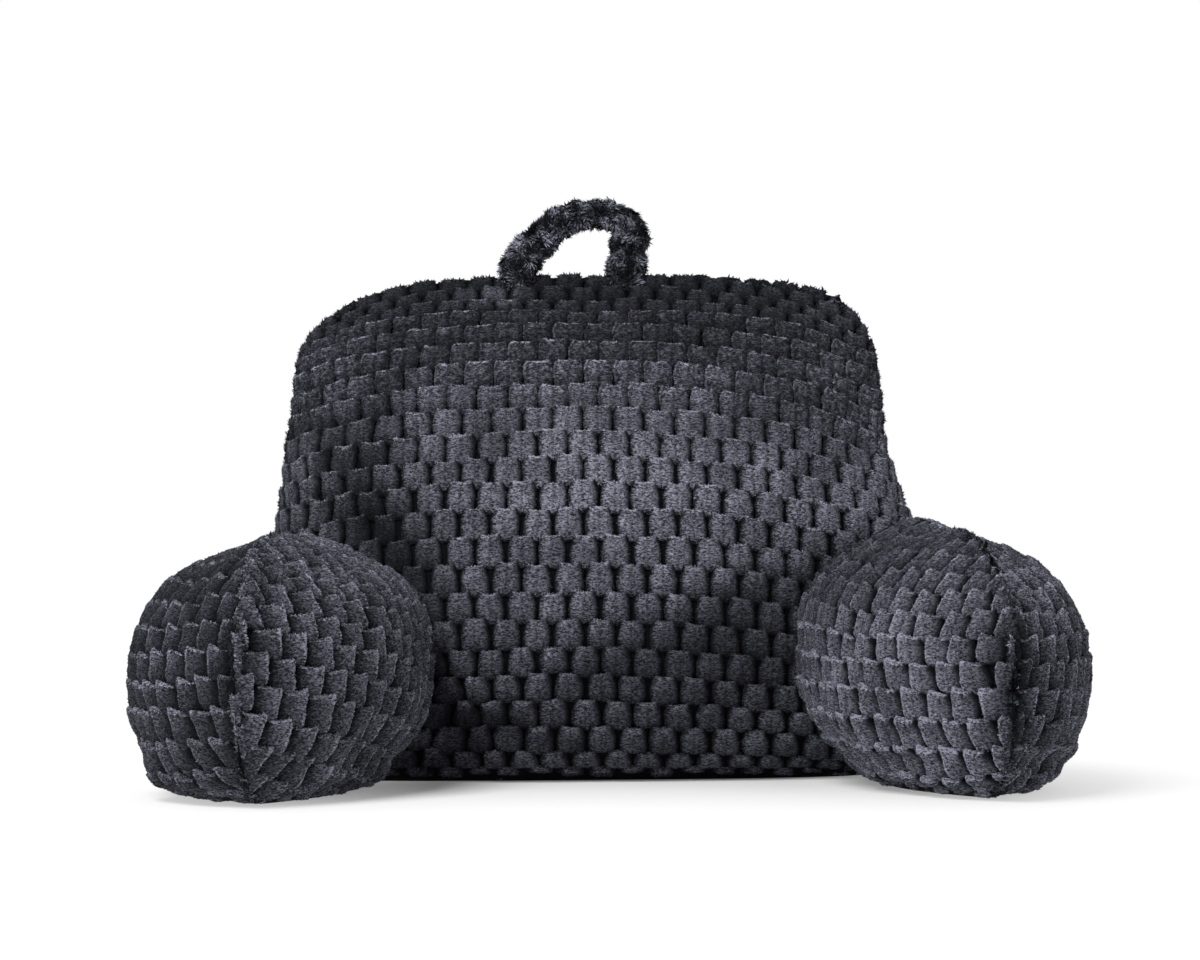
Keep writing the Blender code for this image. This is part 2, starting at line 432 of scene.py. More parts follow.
def lumps(points, scale, seed):
    """Smooth unevenness from -1 to 1 at each point."""
    offset = Vector((seed * 7.3, seed * 3.1, seed * 5.7))
    return np.array([smooth_noise.noise(Vector(p) * scale + offset) for p in points])


def rumple(form, amount, scale, seed):
    """Gives a form the slight unevenness of a hand-filled cushion."""
    points, normals = form.surface()
    free = smoothstep(0.0, SEAM_REACH, points[:, 2])
    points += normals * (amount * lumps(points, scale, seed) * free)[:, None]
    form.take(points)


def fold_foot(form, seed):
    """Squashes the foot of an arm into a few long rolls."""
    points, normals = form.surface()
    height = points[:, 2]
    near_floor = smoothstep(0.0, FOLD_START, height) * np.exp(-(height / ARM_FOOT) ** 2)
    rolls = lumps(points * FOLD_STRETCH, FOLD_SCALE, seed)
    points += normals * (FOLD_DEPTH * rolls * near_floor)[:, None]
    form.take(points)


def furrow(points, crease):
    """How near each point lies to a crease, from 0 to 1."""
    start = np.array((crease.start_x, crease.start_z)) + TABLE_TO_FRAME[[0, 2]]
    way = np.array((crease.end_x - crease.start_x, crease.end_z - crease.start_z))
    length = np.linalg.norm(way)
    off = points[..., [0, 2]] - start
    along = np.clip(off @ (way / length), 0.0, length)
    gap = np.linalg.norm(off - along[..., None] * way / length, axis=-1)
    return np.exp(-(gap / crease.width) ** 2)


def crumpled(points):
    """Where the cloth of the back cushion lies crumpled, from 0 to 1."""
    share = np.zeros(points.shape[:-1])
    for x, z, reach in CRUMPLED:
        middle = np.array((x, z)) + TABLE_TO_FRAME[[0, 2]]
        gap = np.linalg.norm(points[..., [0, 2]] - middle, axis=-1)
        share = np.maximum(share, np.exp(-(gap / reach) ** 2))
    return share


def pull_creases(form):
    """Draws the creases into the front panel and leaves its seams where they are."""
    free = smoothstep(0.0, SEAM_REACH, seam_distance(form.first))
    for crease in CREASES:
        form.first[..., 1] += crease.depth * furrow(form.first, crease) * free


# ---- meshes ------------------------------------------------------------------------------------


def link(data, name):
    """A new object in the scene that shows the mesh, lamp or camera."""
    piece = bpy.data.objects.new(name, data)
    bpy.context.scene.collection.objects.link(piece)
    return piece


def points_of(mesh):
    flat = np.zeros(len(mesh.vertices) * 3)
    mesh.vertices.foreach_get("co", flat)
    return flat.reshape(-1, 3)


def normals_of(mesh):
    flat = np.zeros(len(mesh.vertices) * 3)
    mesh.vertex_normals.foreach_get("vector", flat)
    return flat.reshape(-1, 3)


def move_points(mesh, points):
    mesh.vertices.foreach_set("co", np.ascontiguousarray(points, dtype=np.float32).ravel())


def keep_on(mesh, name, values):
    """Keeps a number or a vector on each point of the mesh."""
    vector = values.size == 3 * len(mesh.vertices)
    layer = mesh.attributes.new(name, "FLOAT_VECTOR" if vector else "FLOAT", "POINT")
    flat = np.ascontiguousarray(values, dtype=np.float32).ravel()
    layer.data.foreach_set("vector" if vector else "value", flat)


def evaluated_mesh(piece):
    """A plain mesh of the piece with its modifiers applied."""
    graph = bpy.context.evaluated_depsgraph_get()
    return bpy.data.meshes.new_from_object(piece.evaluated_get(graph))


# ---- filling: pressure settles the cloth -------------------------------------------------------

PRESSURE = 4.0
LAST_FRAME = 20
GROWTH = -0.03              # a negative shrinkage: the cloth has a little to spare
HELD_HEIGHT = 0.002         # cloth below this height rests on the floor and stays there
SEAM_GIVE = 0.1             # share of its movement that the cloth at a seam makes
SEAM_HOLD = 0.06            # how far from a seam the cloth is held


def settle(form, name, cap):
    """Puffs the closed form by cloth pressure, and lets no point move further than cap."""
    filled = link(form.closed_mesh(name + "_filling"), name + "_filling")
    start = points_of(filled.data)
    held = filled.vertex_groups.new(name="base")
    resting = [int(v) for v in np.nonzero(start[:, 2] < HELD_HEIGHT)[0]]
    held.add(resting, 1.0, "REPLACE")
    cloth = filled.modifiers.new("filling", "CLOTH")
    cloth.settings.use_pressure = True
    cloth.settings.uniform_pressure_force = PRESSURE
    cloth.settings.effector_weights.gravity = 0.0
    cloth.settings.shrink_min = GROWTH
    cloth.settings.bending_stiffness = 2.0
    cloth.settings.vertex_group_mass = "base"
    cloth.settings.quality = 4
    cloth.point_cache.frame_start = 1
    cloth.point_cache.frame_end = LAST_FRAME
    scene = bpy.context.scene
    for frame_number in range(1, LAST_FRAME + 1):
        scene.frame_set(frame_number)
    evaluated = filled.evaluated_get(bpy.context.evaluated_depsgraph_get())
    puffed = points_of(evaluated.data)
    scene.frame_set(1)
    moved = puffed - start
    moved -= moved.mean(axis=0) * np.array((1.0, 1.0, 0.0))
    length = np.linalg.norm(moved, axis=1, keepdims=True)
    length = np.maximum(length, 1e-9)
    moved *= np.tanh(length / cap) * cap / length
    # A seam does not stretch or shrink, and holds the cloth beside it.
    free = np.zeros(len(start))
    for grid, panel in zip(reversed(form.indices()), (form.second, form.first)):
        free[grid] = smoothstep(0.0, SEAM_HOLD, seam_distance(panel))
    moved *= (SEAM_GIVE + (1.0 - SEAM_GIVE) * free)[:, None]
    settled = start + moved
    settled[:, 2] = np.maximum(settled[:, 2], 0.0)
    bpy.data.objects.remove(filled)
    form.take(settled)


# ---- panels: where each point lies on the flat cloth -------------------------------------------


def arc_along(grid):
    """Length of cloth along each grid row, from its first column."""
    steps = np.linalg.norm(np.diff(grid, axis=1), axis=2)
    return np.concatenate((np.zeros((grid.shape[0], 1)), np.cumsum(steps, axis=1)), axis=1)


def arc_up(grid, column):
    """Length of cloth up one grid column, from its first row."""
    steps = np.linalg.norm(np.diff(grid[:, column], axis=0), axis=1)
    return np.concatenate(((0.0,), np.cumsum(steps)))


def edge_distances(grid):
    """How far each point is, over the cloth, from its nearer side seam and from its top seam."""
    across = arc_along(grid)
    side = np.minimum(across, across[:, -1:] - across)
    up = np.linalg.norm(np.diff(grid, axis=0), axis=2)
    below = np.concatenate((np.zeros((1, grid.shape[1])), np.cumsum(up, axis=0)), axis=0)
    return side, below[-1:] - below


def seam_distance(grid):
    """How far each point is, over the cloth, from the nearest sewn edge."""
    return np.minimum(*edge_distances(grid))


# ---- node trees --------------------------------------------------------------------------------


def reckoning(operation):
    """A method of Wire that puts one maths node in its tree."""

    def method(self, *others):
        plain = self.socket.type in ("VALUE", "INT", "BOOLEAN")
        kind = "ShaderNodeMath" if plain else "ShaderNodeVectorMath"
        return put(self.tree, kind, self, *others, operation=operation)

    return method


class Wire:
    """What comes out of a node: a shape, or numbers or vectors that can be reckoned with."""

    __add__ = reckoning("ADD")
    __sub__ = reckoning("SUBTRACT")
    __mul__ = reckoning("MULTIPLY")
    __truediv__ = reckoning("DIVIDE")
    __mod__ = reckoning("MODULO")
    __pow__ = reckoning("POWER")
    __abs__ = reckoning("ABSOLUTE")
    __gt__ = reckoning("GREATER_THAN")
    floor = reckoning("FLOOR")
    wrapped = reckoning("FLOORED_MODULO")
    times_plus = reckoning("MULTIPLY_ADD")
    at_least = reckoning("MAXIMUM")
    at_most = reckoning("MINIMUM")
    scaled = reckoning("SCALE")
    unit = reckoning("NORMALIZE")
    cross = reckoning("CROSS_PRODUCT")
    dot = reckoning("DOT_PRODUCT")
    length = reckoning("LENGTH")

    def __init__(self, socket):
        self.socket = socket

    def __rsub__(self, other):
        return put(self.tree, "ShaderNodeMath", other, self, operation="SUBTRACT")

    @property
    def tree(self):
        return self.socket.id_data

    def beside(self, name):
        """Another wire out of the same node."""
        return Wire(self.socket.node.outputs[name])

    def split(self):
        """The three parts of a vector."""
        x = put(self.tree, "ShaderNodeSeparateXYZ", self)
        return x, x.beside("Y"), x.beside("Z")

    def ranged(self, ends, results, course="LINEAR"):
        """Runs from one result to the other as the value goes from end to end, and stays there."""
        return put(self.tree, "ShaderNodeMapRange", self, *ends, *results,
                   interpolation_type=course)

    def smooth(self, ends, results):
        return self.ranged(ends, results, "SMOOTHSTEP")


def feed(socket, value):
    """Gives a node's incoming socket a wire or a plain value; None leaves it as it is."""
    if isinstance(value, Wire):
        socket.id_data.links.new(value.socket, socket)
    elif value is not None:
        socket.default_value = value


def put(tree, kind, *values, inputs=None, out=None, **settings):
    """A new node and the wire out of it; values go in by order, inputs by name."""
    node = tree.nodes.new(kind)
    for name, value in settings.items():
        setattr(node, name, value)
    for socket, value in zip([s for s in node.inputs if s.enabled], values):
        feed(socket, value)
    for name, value in (inputs or {}).items():
        feed(node.inputs[name], value)
    return Wire(node.outputs[out] if out else next(s for s in node.outputs if s.enabled))


def new_tree(kind, name, inputs, outputs):
    """A node tree with named inputs, as (name, socket kind, default), and named outputs."""
    tree = bpy.data.node_groups.new(name, kind)
    for label, sort in outputs:
        tree.interface.new_socket(label, in_out="OUTPUT", socket_type="NodeSocket" + sort)
    for label, sort, default in inputs:
        socket = tree.interface.new_socket(
            label, in_out="INPUT", socket_type="NodeSocket" + sort)
        if default is not None:
            socket.default_value = default
    given = tree.nodes.new("NodeGroupInput").outputs
    result = tree.nodes.new("NodeGroupOutput").inputs
    return tree, {socket.name: Wire(socket) for socket in given}, result


def joined(tree, x, y, z):
    return put(tree, "ShaderNodeCombineXYZ", x, y, z)


def blend(share, first, second):
    """Two numbers or two colours, mixed."""
    kind = "RGBA" if isinstance(first, tuple) else "FLOAT"
    return put(share.tree, "ShaderNodeMix", share, first, second, data_type=kind)


def noise(tree, vector, scale, detail=2.0):
    return put(tree, "ShaderNodeTexNoise", inputs={
        "Vector": vector, "Scale": scale, "Detail": detail})


def chance(low, high, number, seed):
    """A random value for each point, the same on every run."""
    kind = "FLOAT_VECTOR" if isinstance(low, tuple) else "FLOAT"
    return put(number.tree, "FunctionNodeRandomValue", low, high, number, seed, data_type=kind)


def stored(tree, name, kind="FLOAT"):
    return put(tree, "GeometryNodeInputNamedAttribute", name, data_type=kind)


def store(shape, name, value, kind="FLOAT", domain="POINT"):
    return put(shape.tree, "GeometryNodeStoreNamedAttribute", shape, None, name, value,
               data_type=kind, domain=domain)


def moved_to(shape, place):
    return put(shape.tree, "GeometryNodeSetPosition", shape, None, place)


def without(shape, gone, domain):
    return put(shape.tree, "GeometryNodeDeleteGeometry", shape, gone, domain=domain)


def distance_to(surface, place=None):
    return put(surface.tree, "GeometryNodeProximity", out="Distance", target_element="FACES",
               inputs={"Geometry": surface, "Source Position": place})


def nearest(surface, name, place, kind="FLOAT"):
    """The value that the surface keeps under that name, where it is nearest to the place."""
    return put(surface.tree, "GeometryNodeSampleNearestSurface", data_type=kind, inputs={
        "Mesh": surface, "Value": stored(surface.tree, name, kind), "Sample Position": place})


def copied_to(points, pattern, size, turn):
    """Real copies of the pattern, one on each point."""
    tree = points.tree
    copies = put(tree, "GeometryNodeInstanceOnPoints", inputs={
        "Points": points, "Scale": size, "Rotation": turn,
        "Instance": put(tree, "GeometryNodeObjectInfo", out="Geometry",
                        inputs={"Object": pattern})})
    return put(tree, "GeometryNodeRealizeInstances", copies)


def bake_place(tree, cells):
    """Where each corner lies in the baked picture, in the cell of the copy that it is on."""
    cell = stored(tree, "cell")
    own_x, own_y, _ = stored(tree, "OFBake", "FLOAT_VECTOR").split()
    row = ((cell + 0.5) / cells).floor()
    return (cell % cells + own_x) / cells, (row + own_y) / cells


def finished(shape, bake_x, bake_y, material, result):
    """Ends a geometry tree with the shape's place in the baked picture and its material."""
    tree = shape.tree
    shape = store(shape, "OFBake", joined(tree, bake_x, bake_y, 0.0), "FLOAT2", "CORNER")
    feed(result["Geometry"], put(tree, "GeometryNodeSetMaterial", inputs={
        "Geometry": shape, "Material": material}))
    return tree


def grown(piece, tree, name, **values):
    """Runs the tree on the piece and gives its result as a new plain mesh object."""
    modifier = piece.modifiers.new(tree.name, "NODES")
    modifier.node_group = tree
    for item in tree.interface.items_tree:
        if item.item_type == "SOCKET" and item.in_out == "INPUT":
            key = item.name.lower().replace(" ", "_")
            if key in values:
                modifier[item.identifier] = values.pop(key)
    if values:
        raise ValueError(f"{tree.name} has no input for {sorted(values)}")
    mesh = evaluated_mesh(piece)
    mesh.name = name
    piece.modifiers.remove(modifier)
    return link(mesh, name)


# ---- tufts -------------------------------------------------------------------------------------

TUFT_HEAD = 0.66            # a tuft's top corners, in rows above its middle
TUFT_FOOT = 0.56            # the lowest point of its sides, in rows below its middle
TUFT_LEAD = 0.44            # how far its middle lies below its row
TUFT_STEEPNESS = 2.5        # how late its sides turn into its head and foot
TUFT_CROWN = 0.98           # height of its middle, in shares of the relief
TUFT_BAKE_REACH = (0.475, 0.69)     # share of width and of row that fill its cell in the picture
BAKE_MARGIN = 0.92
TUFT_SIDE_OUTLINE = (
    # one side of a tuft from the middle of its head to its foot: share of its width, of its row
    (0.00, 0.600),
    (0.17, 0.615),
    (0.32, TUFT_HEAD),
    (0.395, 0.50),
    (0.440, 0.33),
    (0.470, 0.15),
    (0.480, -0.06),
    (0.472, -0.25),
    (0.435, -0.41),
    (0.335, -0.52),
    (0.180, -TUFT_FOOT),
    (0.00, -0.57),
)
SMALLEST_TUFT = (0.92, 0.93, 0.78)  # width, row and relief, as shares of the usual ones
LARGEST_TUFT = (1.03, 1.05, 1.16)
TUFT_TURN = 90.0            # radians for each metre of unevenness
TUFT_OVERHANG = 0.40        # share of its width that a tuft's middle may lie off the panel
FACE_OVERHANG = 0.0012      # how far a face may lie off it
WOBBLE = 0.0025             # unevenness of a tuft's own outline, in metres
WOBBLE_SCALE = 150.0
LOWEST_PLUSH = 0.0005       # gap that keeps the plush off the floor


class TuftRing(NamedTuple):
    """One ring round a tuft."""

    share: float        # of the outline
    side: float         # heights at the sides, the head and the foot, in shares of the relief
    head: float
    foot: float
    spread: float       # share of the tuft's cell in the baked picture


TUFT_RINGS = (
    TuftRing(0.92, -0.12, -0.12, -0.12, 1.00),
    TuftRing(1.00, 0.22, 0.72, 0.08, 0.90),
    TuftRing(0.94, 0.58, 1.12, 0.34, 0.80),
    TuftRing(0.78, 0.84, 1.20, 0.60, 0.62),
    TuftRing(0.46, 0.96, 1.12, 0.82, 0.36),
)


def tuft_outline():
    """A narrow hollowed head, a wide middle and a rounded foot, counter-clockwise."""
    left = [(-x, y) for x, y in TUFT_SIDE_OUTLINE[1:-1]]
    right = [(x, y) for x, y in reversed(TUFT_SIDE_OUTLINE)]
    return left + right


@functools.cache
def tuft_pattern():
    """One tuft as a small closed mesh, with a place of its own in the baked picture."""
    shape = bmesh.new()
    bake = shape.loops.layers.uv.new("OFBake")
    flat = {}
    rings = []
    outline = tuft_outline()
    sides = len(outline)
    for level in TUFT_RINGS:
        ring = []
        for x, y in outline:
            steep = min(abs(y) / TUFT_FOOT, 1.0) ** TUFT_STEEPNESS
            end = level.head if y > 0.0 else level.foot
            height = level.side + (end - level.side) * steep
            vertex = shape.verts.new((x * level.share, y * level.share, height))
            reach = max(math.hypot(x / TUFT_BAKE_REACH[0], y / TUFT_BAKE_REACH[1]), 1.0)
            flat[vertex] = [
                0.5 + 0.5 * BAKE_MARGIN * level.spread * off / whole / reach
                for off, whole in zip((x, y), TUFT_BAKE_REACH)
            ]
            ring.append(vertex)
        rings.append(ring)
    for lower, upper in zip(rings, rings[1:]):
        for side in range(sides):
            following = (side + 1) % sides
            shape.faces.new((lower[side], lower[following], upper[following], upper[side]))
    crown = shape.verts.new((0.0, 0.0, TUFT_CROWN))
    flat[crown] = (0.5, 0.5)
    for side in range(sides):
        shape.faces.new((rings[-1][side], rings[-1][(side + 1) % sides], crown))
    shape.faces.new(list(reversed(rings[0])))
    for face in shape.faces:
        face.smooth = True
        for loop in face.loops:
            loop[bake].uv = flat[loop.vert]
    mesh = bpy.data.meshes.new("tuft_pattern")
    shape.to_mesh(mesh)
    shape.free()
    return link(mesh, "tuft_pattern")


def tuft_points(tree, given, flat, number):
    """One point for each tuft that lies on the flat panel, odd rows shifted along."""
    width, seed = given["Tuft Width"], given["Seed"]
    count = given["Columns"] * given["Rows"]
    points = put(tree, "GeometryNodePoints", inputs={"Count": count})
    column = number % given["Columns"] + given["First Column"]
    row = ((number + 0.5) / given["Columns"]).floor() + given["First Row"]
    shift = row.wrapped(2.0) * given["Brick Shift"]
    u = (column + shift).times_plus(width, given["Column Start"])
    v = (row - TUFT_LEAD) * given["Row Height"]
    stray = chance((-1.0, -1.0, 0.0), (1.0, 1.0, 0.0), number, seed)
    points = moved_to(points, joined(tree, u, v, 0.0) + stray.scaled(given["Unevenness"]))
    off_panel = distance_to(flat) > width * TUFT_OVERHANG
    position = put(tree, "GeometryNodeInputPosition")
    points = without(points, off_panel.at_least(nearest(flat, "buried", position) > 0.5), "POINT")

    # What each tuft keeps: its shade, its middle on the cloth, its cell in the picture.
    points = store(points, "tuft_shade", chance(0.0, 1.0, number, seed + 5.0))
    points = store(points, "middle", position, "FLOAT_VECTOR")
    return store(points, "cell", number + given["Bake First"])


TUFT_TREE_INPUTS = (
    ("Geometry", "Geometry", None),
    ("Pattern", "Object", None),
    ("Tuft Width", "Float", 0.0265),
    ("Row Height", "Float", 0.024),
    ("Relief", "Float", 0.0065),
    ("Seam Relief", "Float", 0.4),
    ("Sink", "Float", 0.0015),
    ("Columns", "Int", 10),
    ("Rows", "Int", 10),
    ("First Column", "Int", 0),
    ("First Row", "Int", 0),
    ("Column Start", "Float", 0.0),
    ("Brick Shift", "Float", 0.5),
    ("Fill", "Float", 1.0),
    ("Slant", "Float", 0.0),
    ("Unevenness", "Float", 0.0007),
    ("Seam Pull", "Float", 0.006),
    ("Bake First", "Int", 0),
    ("Bake Cells", "Int", 30),
    ("Bake Skirt", "Float", 0.12),
    ("Seed", "Int", 1),
    ("Plush", "Material", None),
)


@functools.cache
def tuft_tree():
    """Tufts in brick order on the flat cloth, then lifted onto the panel that the cloth covers."""
    tree, given, result = new_tree(
        "GeometryNodeTree", "Sewn tufts", TUFT_TREE_INPUTS, (("Geometry", "Geometry"),))
    width, height, seed = given["Tuft Width"], given["Row Height"], given["Seed"]
    slant = given["Slant"]
    position = put(tree, "GeometryNodeInputPosition")
    number = put(tree, "GeometryNodeInputIndex")

    # The panel, laid flat where its cloth was cut, still knows its place in the pillow.
    knows = store(given["Geometry"], "place", position, "FLOAT_VECTOR")
    flat = moved_to(knows, stored(tree, "cloth", "FLOAT_VECTOR"))
    points = tuft_points(tree, given, flat, number)
    turn = chance(-TUFT_TURN, TUFT_TURN, number, seed + 7.0) * given["Unevenness"]
    size = chance(SMALLEST_TUFT, LARGEST_TUFT, number, seed + 8.0)
    size = size * joined(tree, width * given["Fill"], height, 1.0)
    tufts = copied_to(points, given["Pattern"], size, joined(tree, 0.0, 0.0, turn))

    x, y, lift = position.split()
    off = (position - stored(tree, "middle", "FLOAT_VECTOR")) / joined(tree, width, height, 1.0)
    off_x, off_y, _ = off.split()
    # Seen from a side, tufts overlap like shingles: each is low at one side, high at the other,
    # and its high side is the longer one, with square corners.
    leaning = off_x * slant
    longer = off_y.times_plus(0.32, 0.10) * leaning
    y = longer.times_plus(height, y)
    squared = leaning.smooth((0.0, 0.22), (0.0, 0.15)) * (slant * abs(slant))
    squared = squared * off_y.ranged((0.15, 0.60), (0.0, 1.0))
    # Tufts that stand shoulder to shoulder have wide heads.
    closed = nearest(flat, "closed", joined(tree, x, y, 0.0))
    head = off_y.ranged((-0.20, 0.60), (0.03, 0.28))
    squared = (closed * off_x).times_plus(head, squared)
    x = squared.times_plus(width, x)
    wobble = put(tree, "ShaderNodeTexNoise", out="Color", inputs={
        "Vector": position * (1.0, 1.0, 0.004), "Scale": WOBBLE_SCALE, "Detail": 1.0})
    wobble = (wobble - (0.5, 0.5, 0.5)).scaled(WOBBLE)
    ground = joined(tree, x, y, 0.0) + wobble * (1.0, 1.0, 0.0)

    # The pile fans out from the tuft's middle.
    out = nearest(flat, "outward", ground, "FLOAT_VECTOR").unit()
    across = nearest(flat, "across", ground, "FLOAT_VECTOR").unit()
    upward = out.cross(across)
    fan = across.scaled(off_x * 0.55) + upward.scaled(off_y)
    tufts = store(tufts, "fan", fan, "FLOAT_VECTOR")
    seam = nearest(flat, "seam", ground)
    # Each tuft also keeps the painted light and shade of the cloth where it stands.
    for name, value in (
        ("beyond", distance_to(flat, ground)), ("tuft_height", lift), ("closed", closed),
        ("aside", off_x), ("along", off_y), ("slant", slant), ("seam", seam),
        ("brushed", nearest(flat, "brushed", ground)),
    ):
        tufts = store(tufts, name, value)

    # Clamped to the panel, then lifted along its outward way; low towards a seam.
    steep = leaning.ranged((0.1, 0.4), (1.0, 0.35))
    raised = lift.at_least(0.0) ** steep * leaning.times_plus(0.9, 0.85)
    lift = raised + lift.at_most(0.0)
    full = seam.smooth((0.0, given["Seam Pull"]), (given["Seam Relief"], 1.0))
    rise = (lift - 1.0) * full * given["Relief"] - (1.0 - full) * given["Sink"]
    rise = rise + wobble.split()[2] * lift
    lifted = nearest(flat, "place", ground, "FLOAT_VECTOR") + out.scaled(rise)
    tufts = moved_to(tufts, lifted.at_least((-10.0, -10.0, LOWEST_PLUSH)))

    # Faces that fell beyond the seam are dropped.
    tufts = without(tufts, stored(tree, "beyond") > FACE_OVERHANG, "FACE")

    # Each tuft's own cell of the baked picture, above the strip that the skin takes.
    skirt = given["Bake Skirt"]
    bake_x, bake_y = bake_place(tree, given["Bake Cells"])
    return finished(tufts, bake_x, bake_y.times_plus(1.0 - skirt, skirt), given["Plush"], result)


# ---- pile --------------------------------------------------------------------------------------

SHAG_STRAY = 1.4            # how much more the pile strays, rises, grows and thickens at a seam
SHAG_RISE = 0.6
SHAG_LENGTH = 0.8
SHAG_THICKNESS = 0.9
THICK_PILE_HEIGHT = 0.9     # where the pile is at its thickest, as a share of a tuft's relief
LOCK_RISE = (0.3, 1.7)      # the least and the most that a lock rises or measures, as shares
LOCK_LENGTH = (0.65, 1.25)


@functools.cache
def blade_pattern():
    """One lock of pile: a slim triangle, standing on its base."""
    mesh = bpy.data.meshes.new("blade_pattern")
    mesh.from_pydata([(-0.5, 0.0, 0.0), (0.5, 0.0, 0.0), (0.12, 0.0, 1.0)], [], [(0, 1, 2)])
    bake = mesh.uv_layers.new(name="OFBake")
    for loop, place in zip(bake.data, ((0.1, 0.1), (0.9, 0.1), (0.1, 0.9))):
        loop.uv = place
    tip = mesh.attributes.new("tip", "FLOAT", "POINT")
    tip.data.foreach_set("value", (0.0, 0.0, 1.0))
    return link(mesh, "blade_pattern")


@functools.cache
def pile_tree():
    """Short pile over a plush piece, thick on the tufts and thin down their sides."""
    tree, given, result = new_tree("GeometryNodeTree", "Short pile", (
        ("Geometry", "Geometry", None),
        ("Pattern", "Object", None),
        ("Density", "Float", 300000.0),
        ("Length", "Float", 0.004),
        ("Thickness", "Float", 0.0009),
        ("Fan", "Float", 2.2),
        ("Stray", "Float", 0.36),
        ("Rise", "Float", 0.42),
        ("Shag Reach", "Float", 0.009),
        ("Twist", "Float", 0.6),
        ("Lowest", "Float", 0.2),
        ("Bake Cells", "Int", 350),
        ("Seed", "Int", 1),
        ("Pile", "Material", None),
    ), (("Geometry", "Geometry"),))
    seed = given["Seed"]
    number = put(tree, "GeometryNodeInputIndex")
    height = stored(tree, "tuft_height")
    thick = height.ranged((given["Lowest"], THICK_PILE_HEIGHT), (0.0, 1.0))
    points = put(tree, "GeometryNodeDistributePointsOnFaces", distribute_method="RANDOM", inputs={
        "Mesh": given["Geometry"], "Density": thick * given["Density"], "Seed": seed})
    normal = points.beside("Normal")
    shag = stored(tree, "seam").ranged((0.0, given["Shag Reach"]), (1.0, 0.0))

    # A lock lies along the cloth, away from its tuft's middle, and rises a little.
    nap = stored(tree, "fan", "FLOAT_VECTOR").scaled(given["Fan"])
    stray = given["Stray"] * shag.times_plus(SHAG_STRAY, 1.0)
    way = nap + chance((-1.0, -1.0, -1.0), (1.0, 1.0, 1.0), number, seed).scaled(stray)
    way = (way - normal.scaled(way.dot(normal))).unit()
    rise = chance(*LOCK_RISE, number, seed + 4.0) * shag.times_plus(SHAG_RISE, given["Rise"])
    way = way + normal.scaled(rise)
    turn = put(tree, "FunctionNodeAlignRotationToVector", inputs={"Vector": way}, axis="Z")
    turn = put(tree, "FunctionNodeAlignRotationToVector", inputs={
        "Rotation": turn, "Vector": normal}, axis="Y", pivot_axis="Z")
    spin = chance(-1.0, 1.0, number, seed + 2.0) * given["Twist"]
    spin = put(tree, "FunctionNodeEulerToRotation", joined(tree, 0.0, 0.0, spin))
    turn = put(tree, "FunctionNodeRotateRotation", rotation_space="LOCAL", inputs={
        "Rotation": turn, "Rotate By": spin})
    length = chance(*LOCK_LENGTH, number, seed + 3.0) * shag.times_plus(SHAG_LENGTH, 1.0)
    thickness = given["Thickness"] * shag.times_plus(SHAG_THICKNESS, 1.0)
    size = joined(tree, thickness, thickness, length * given["Length"])

    points = store(points, "fibre_shade", chance(0.0, 1.0, number, seed + 1.0))
    points = store(points, "cell", number)
    blades = copied_to(points, given["Pattern"], size, turn)
    bake_x, bake_y = bake_place(tree, given["Bake Cells"])
    return finished(blades, bake_x, bake_y, given["Pile"], result)


# ---- finishes ----------------------------------------------------------------------------------


def brushed_group():
    """Broad patches where the pile lies another way, and fine ripples across its nap."""
    group, given, result = new_tree(
        "ShaderNodeTree", "Brushed pile",
        (("Vector", "Vector", None), ("Patch Scale", "Float", 14.0),
         ("Speckle Scale", "Float", 230.0), ("Speckled", "Float", 0.0),
         ("Ripple Scale", "Float", 860.0)),
        (("Patches", "Float"), ("Ripples", "Float")),
    )
    vector = given["Vector"]
    patches = noise(group, vector, given["Patch Scale"]).ranged((0.30, 0.70), (0.60, 1.45))
    speckles = noise(group, vector, given["Speckle Scale"]).ranged((0.36, 0.66), (0.40, 1.65))
    speckled = given["Speckled"].ranged((0.90, 1.0), (0.0, 1.0))
    feed(result["Patches"], patches * blend(speckled, 1.0, speckles))
    ripples = put(group, "ShaderNodeTexNoise", inputs={
        "Vector": vector * (0.45, 0.45, 1.0), "Scale": given["Ripple Scale"], "Detail": 3.0,
        "Distortion": 0.7})
    feed(result["Ripples"], ripples.ranged((0.39, 0.61), (0.0, 1.0)))
    return group


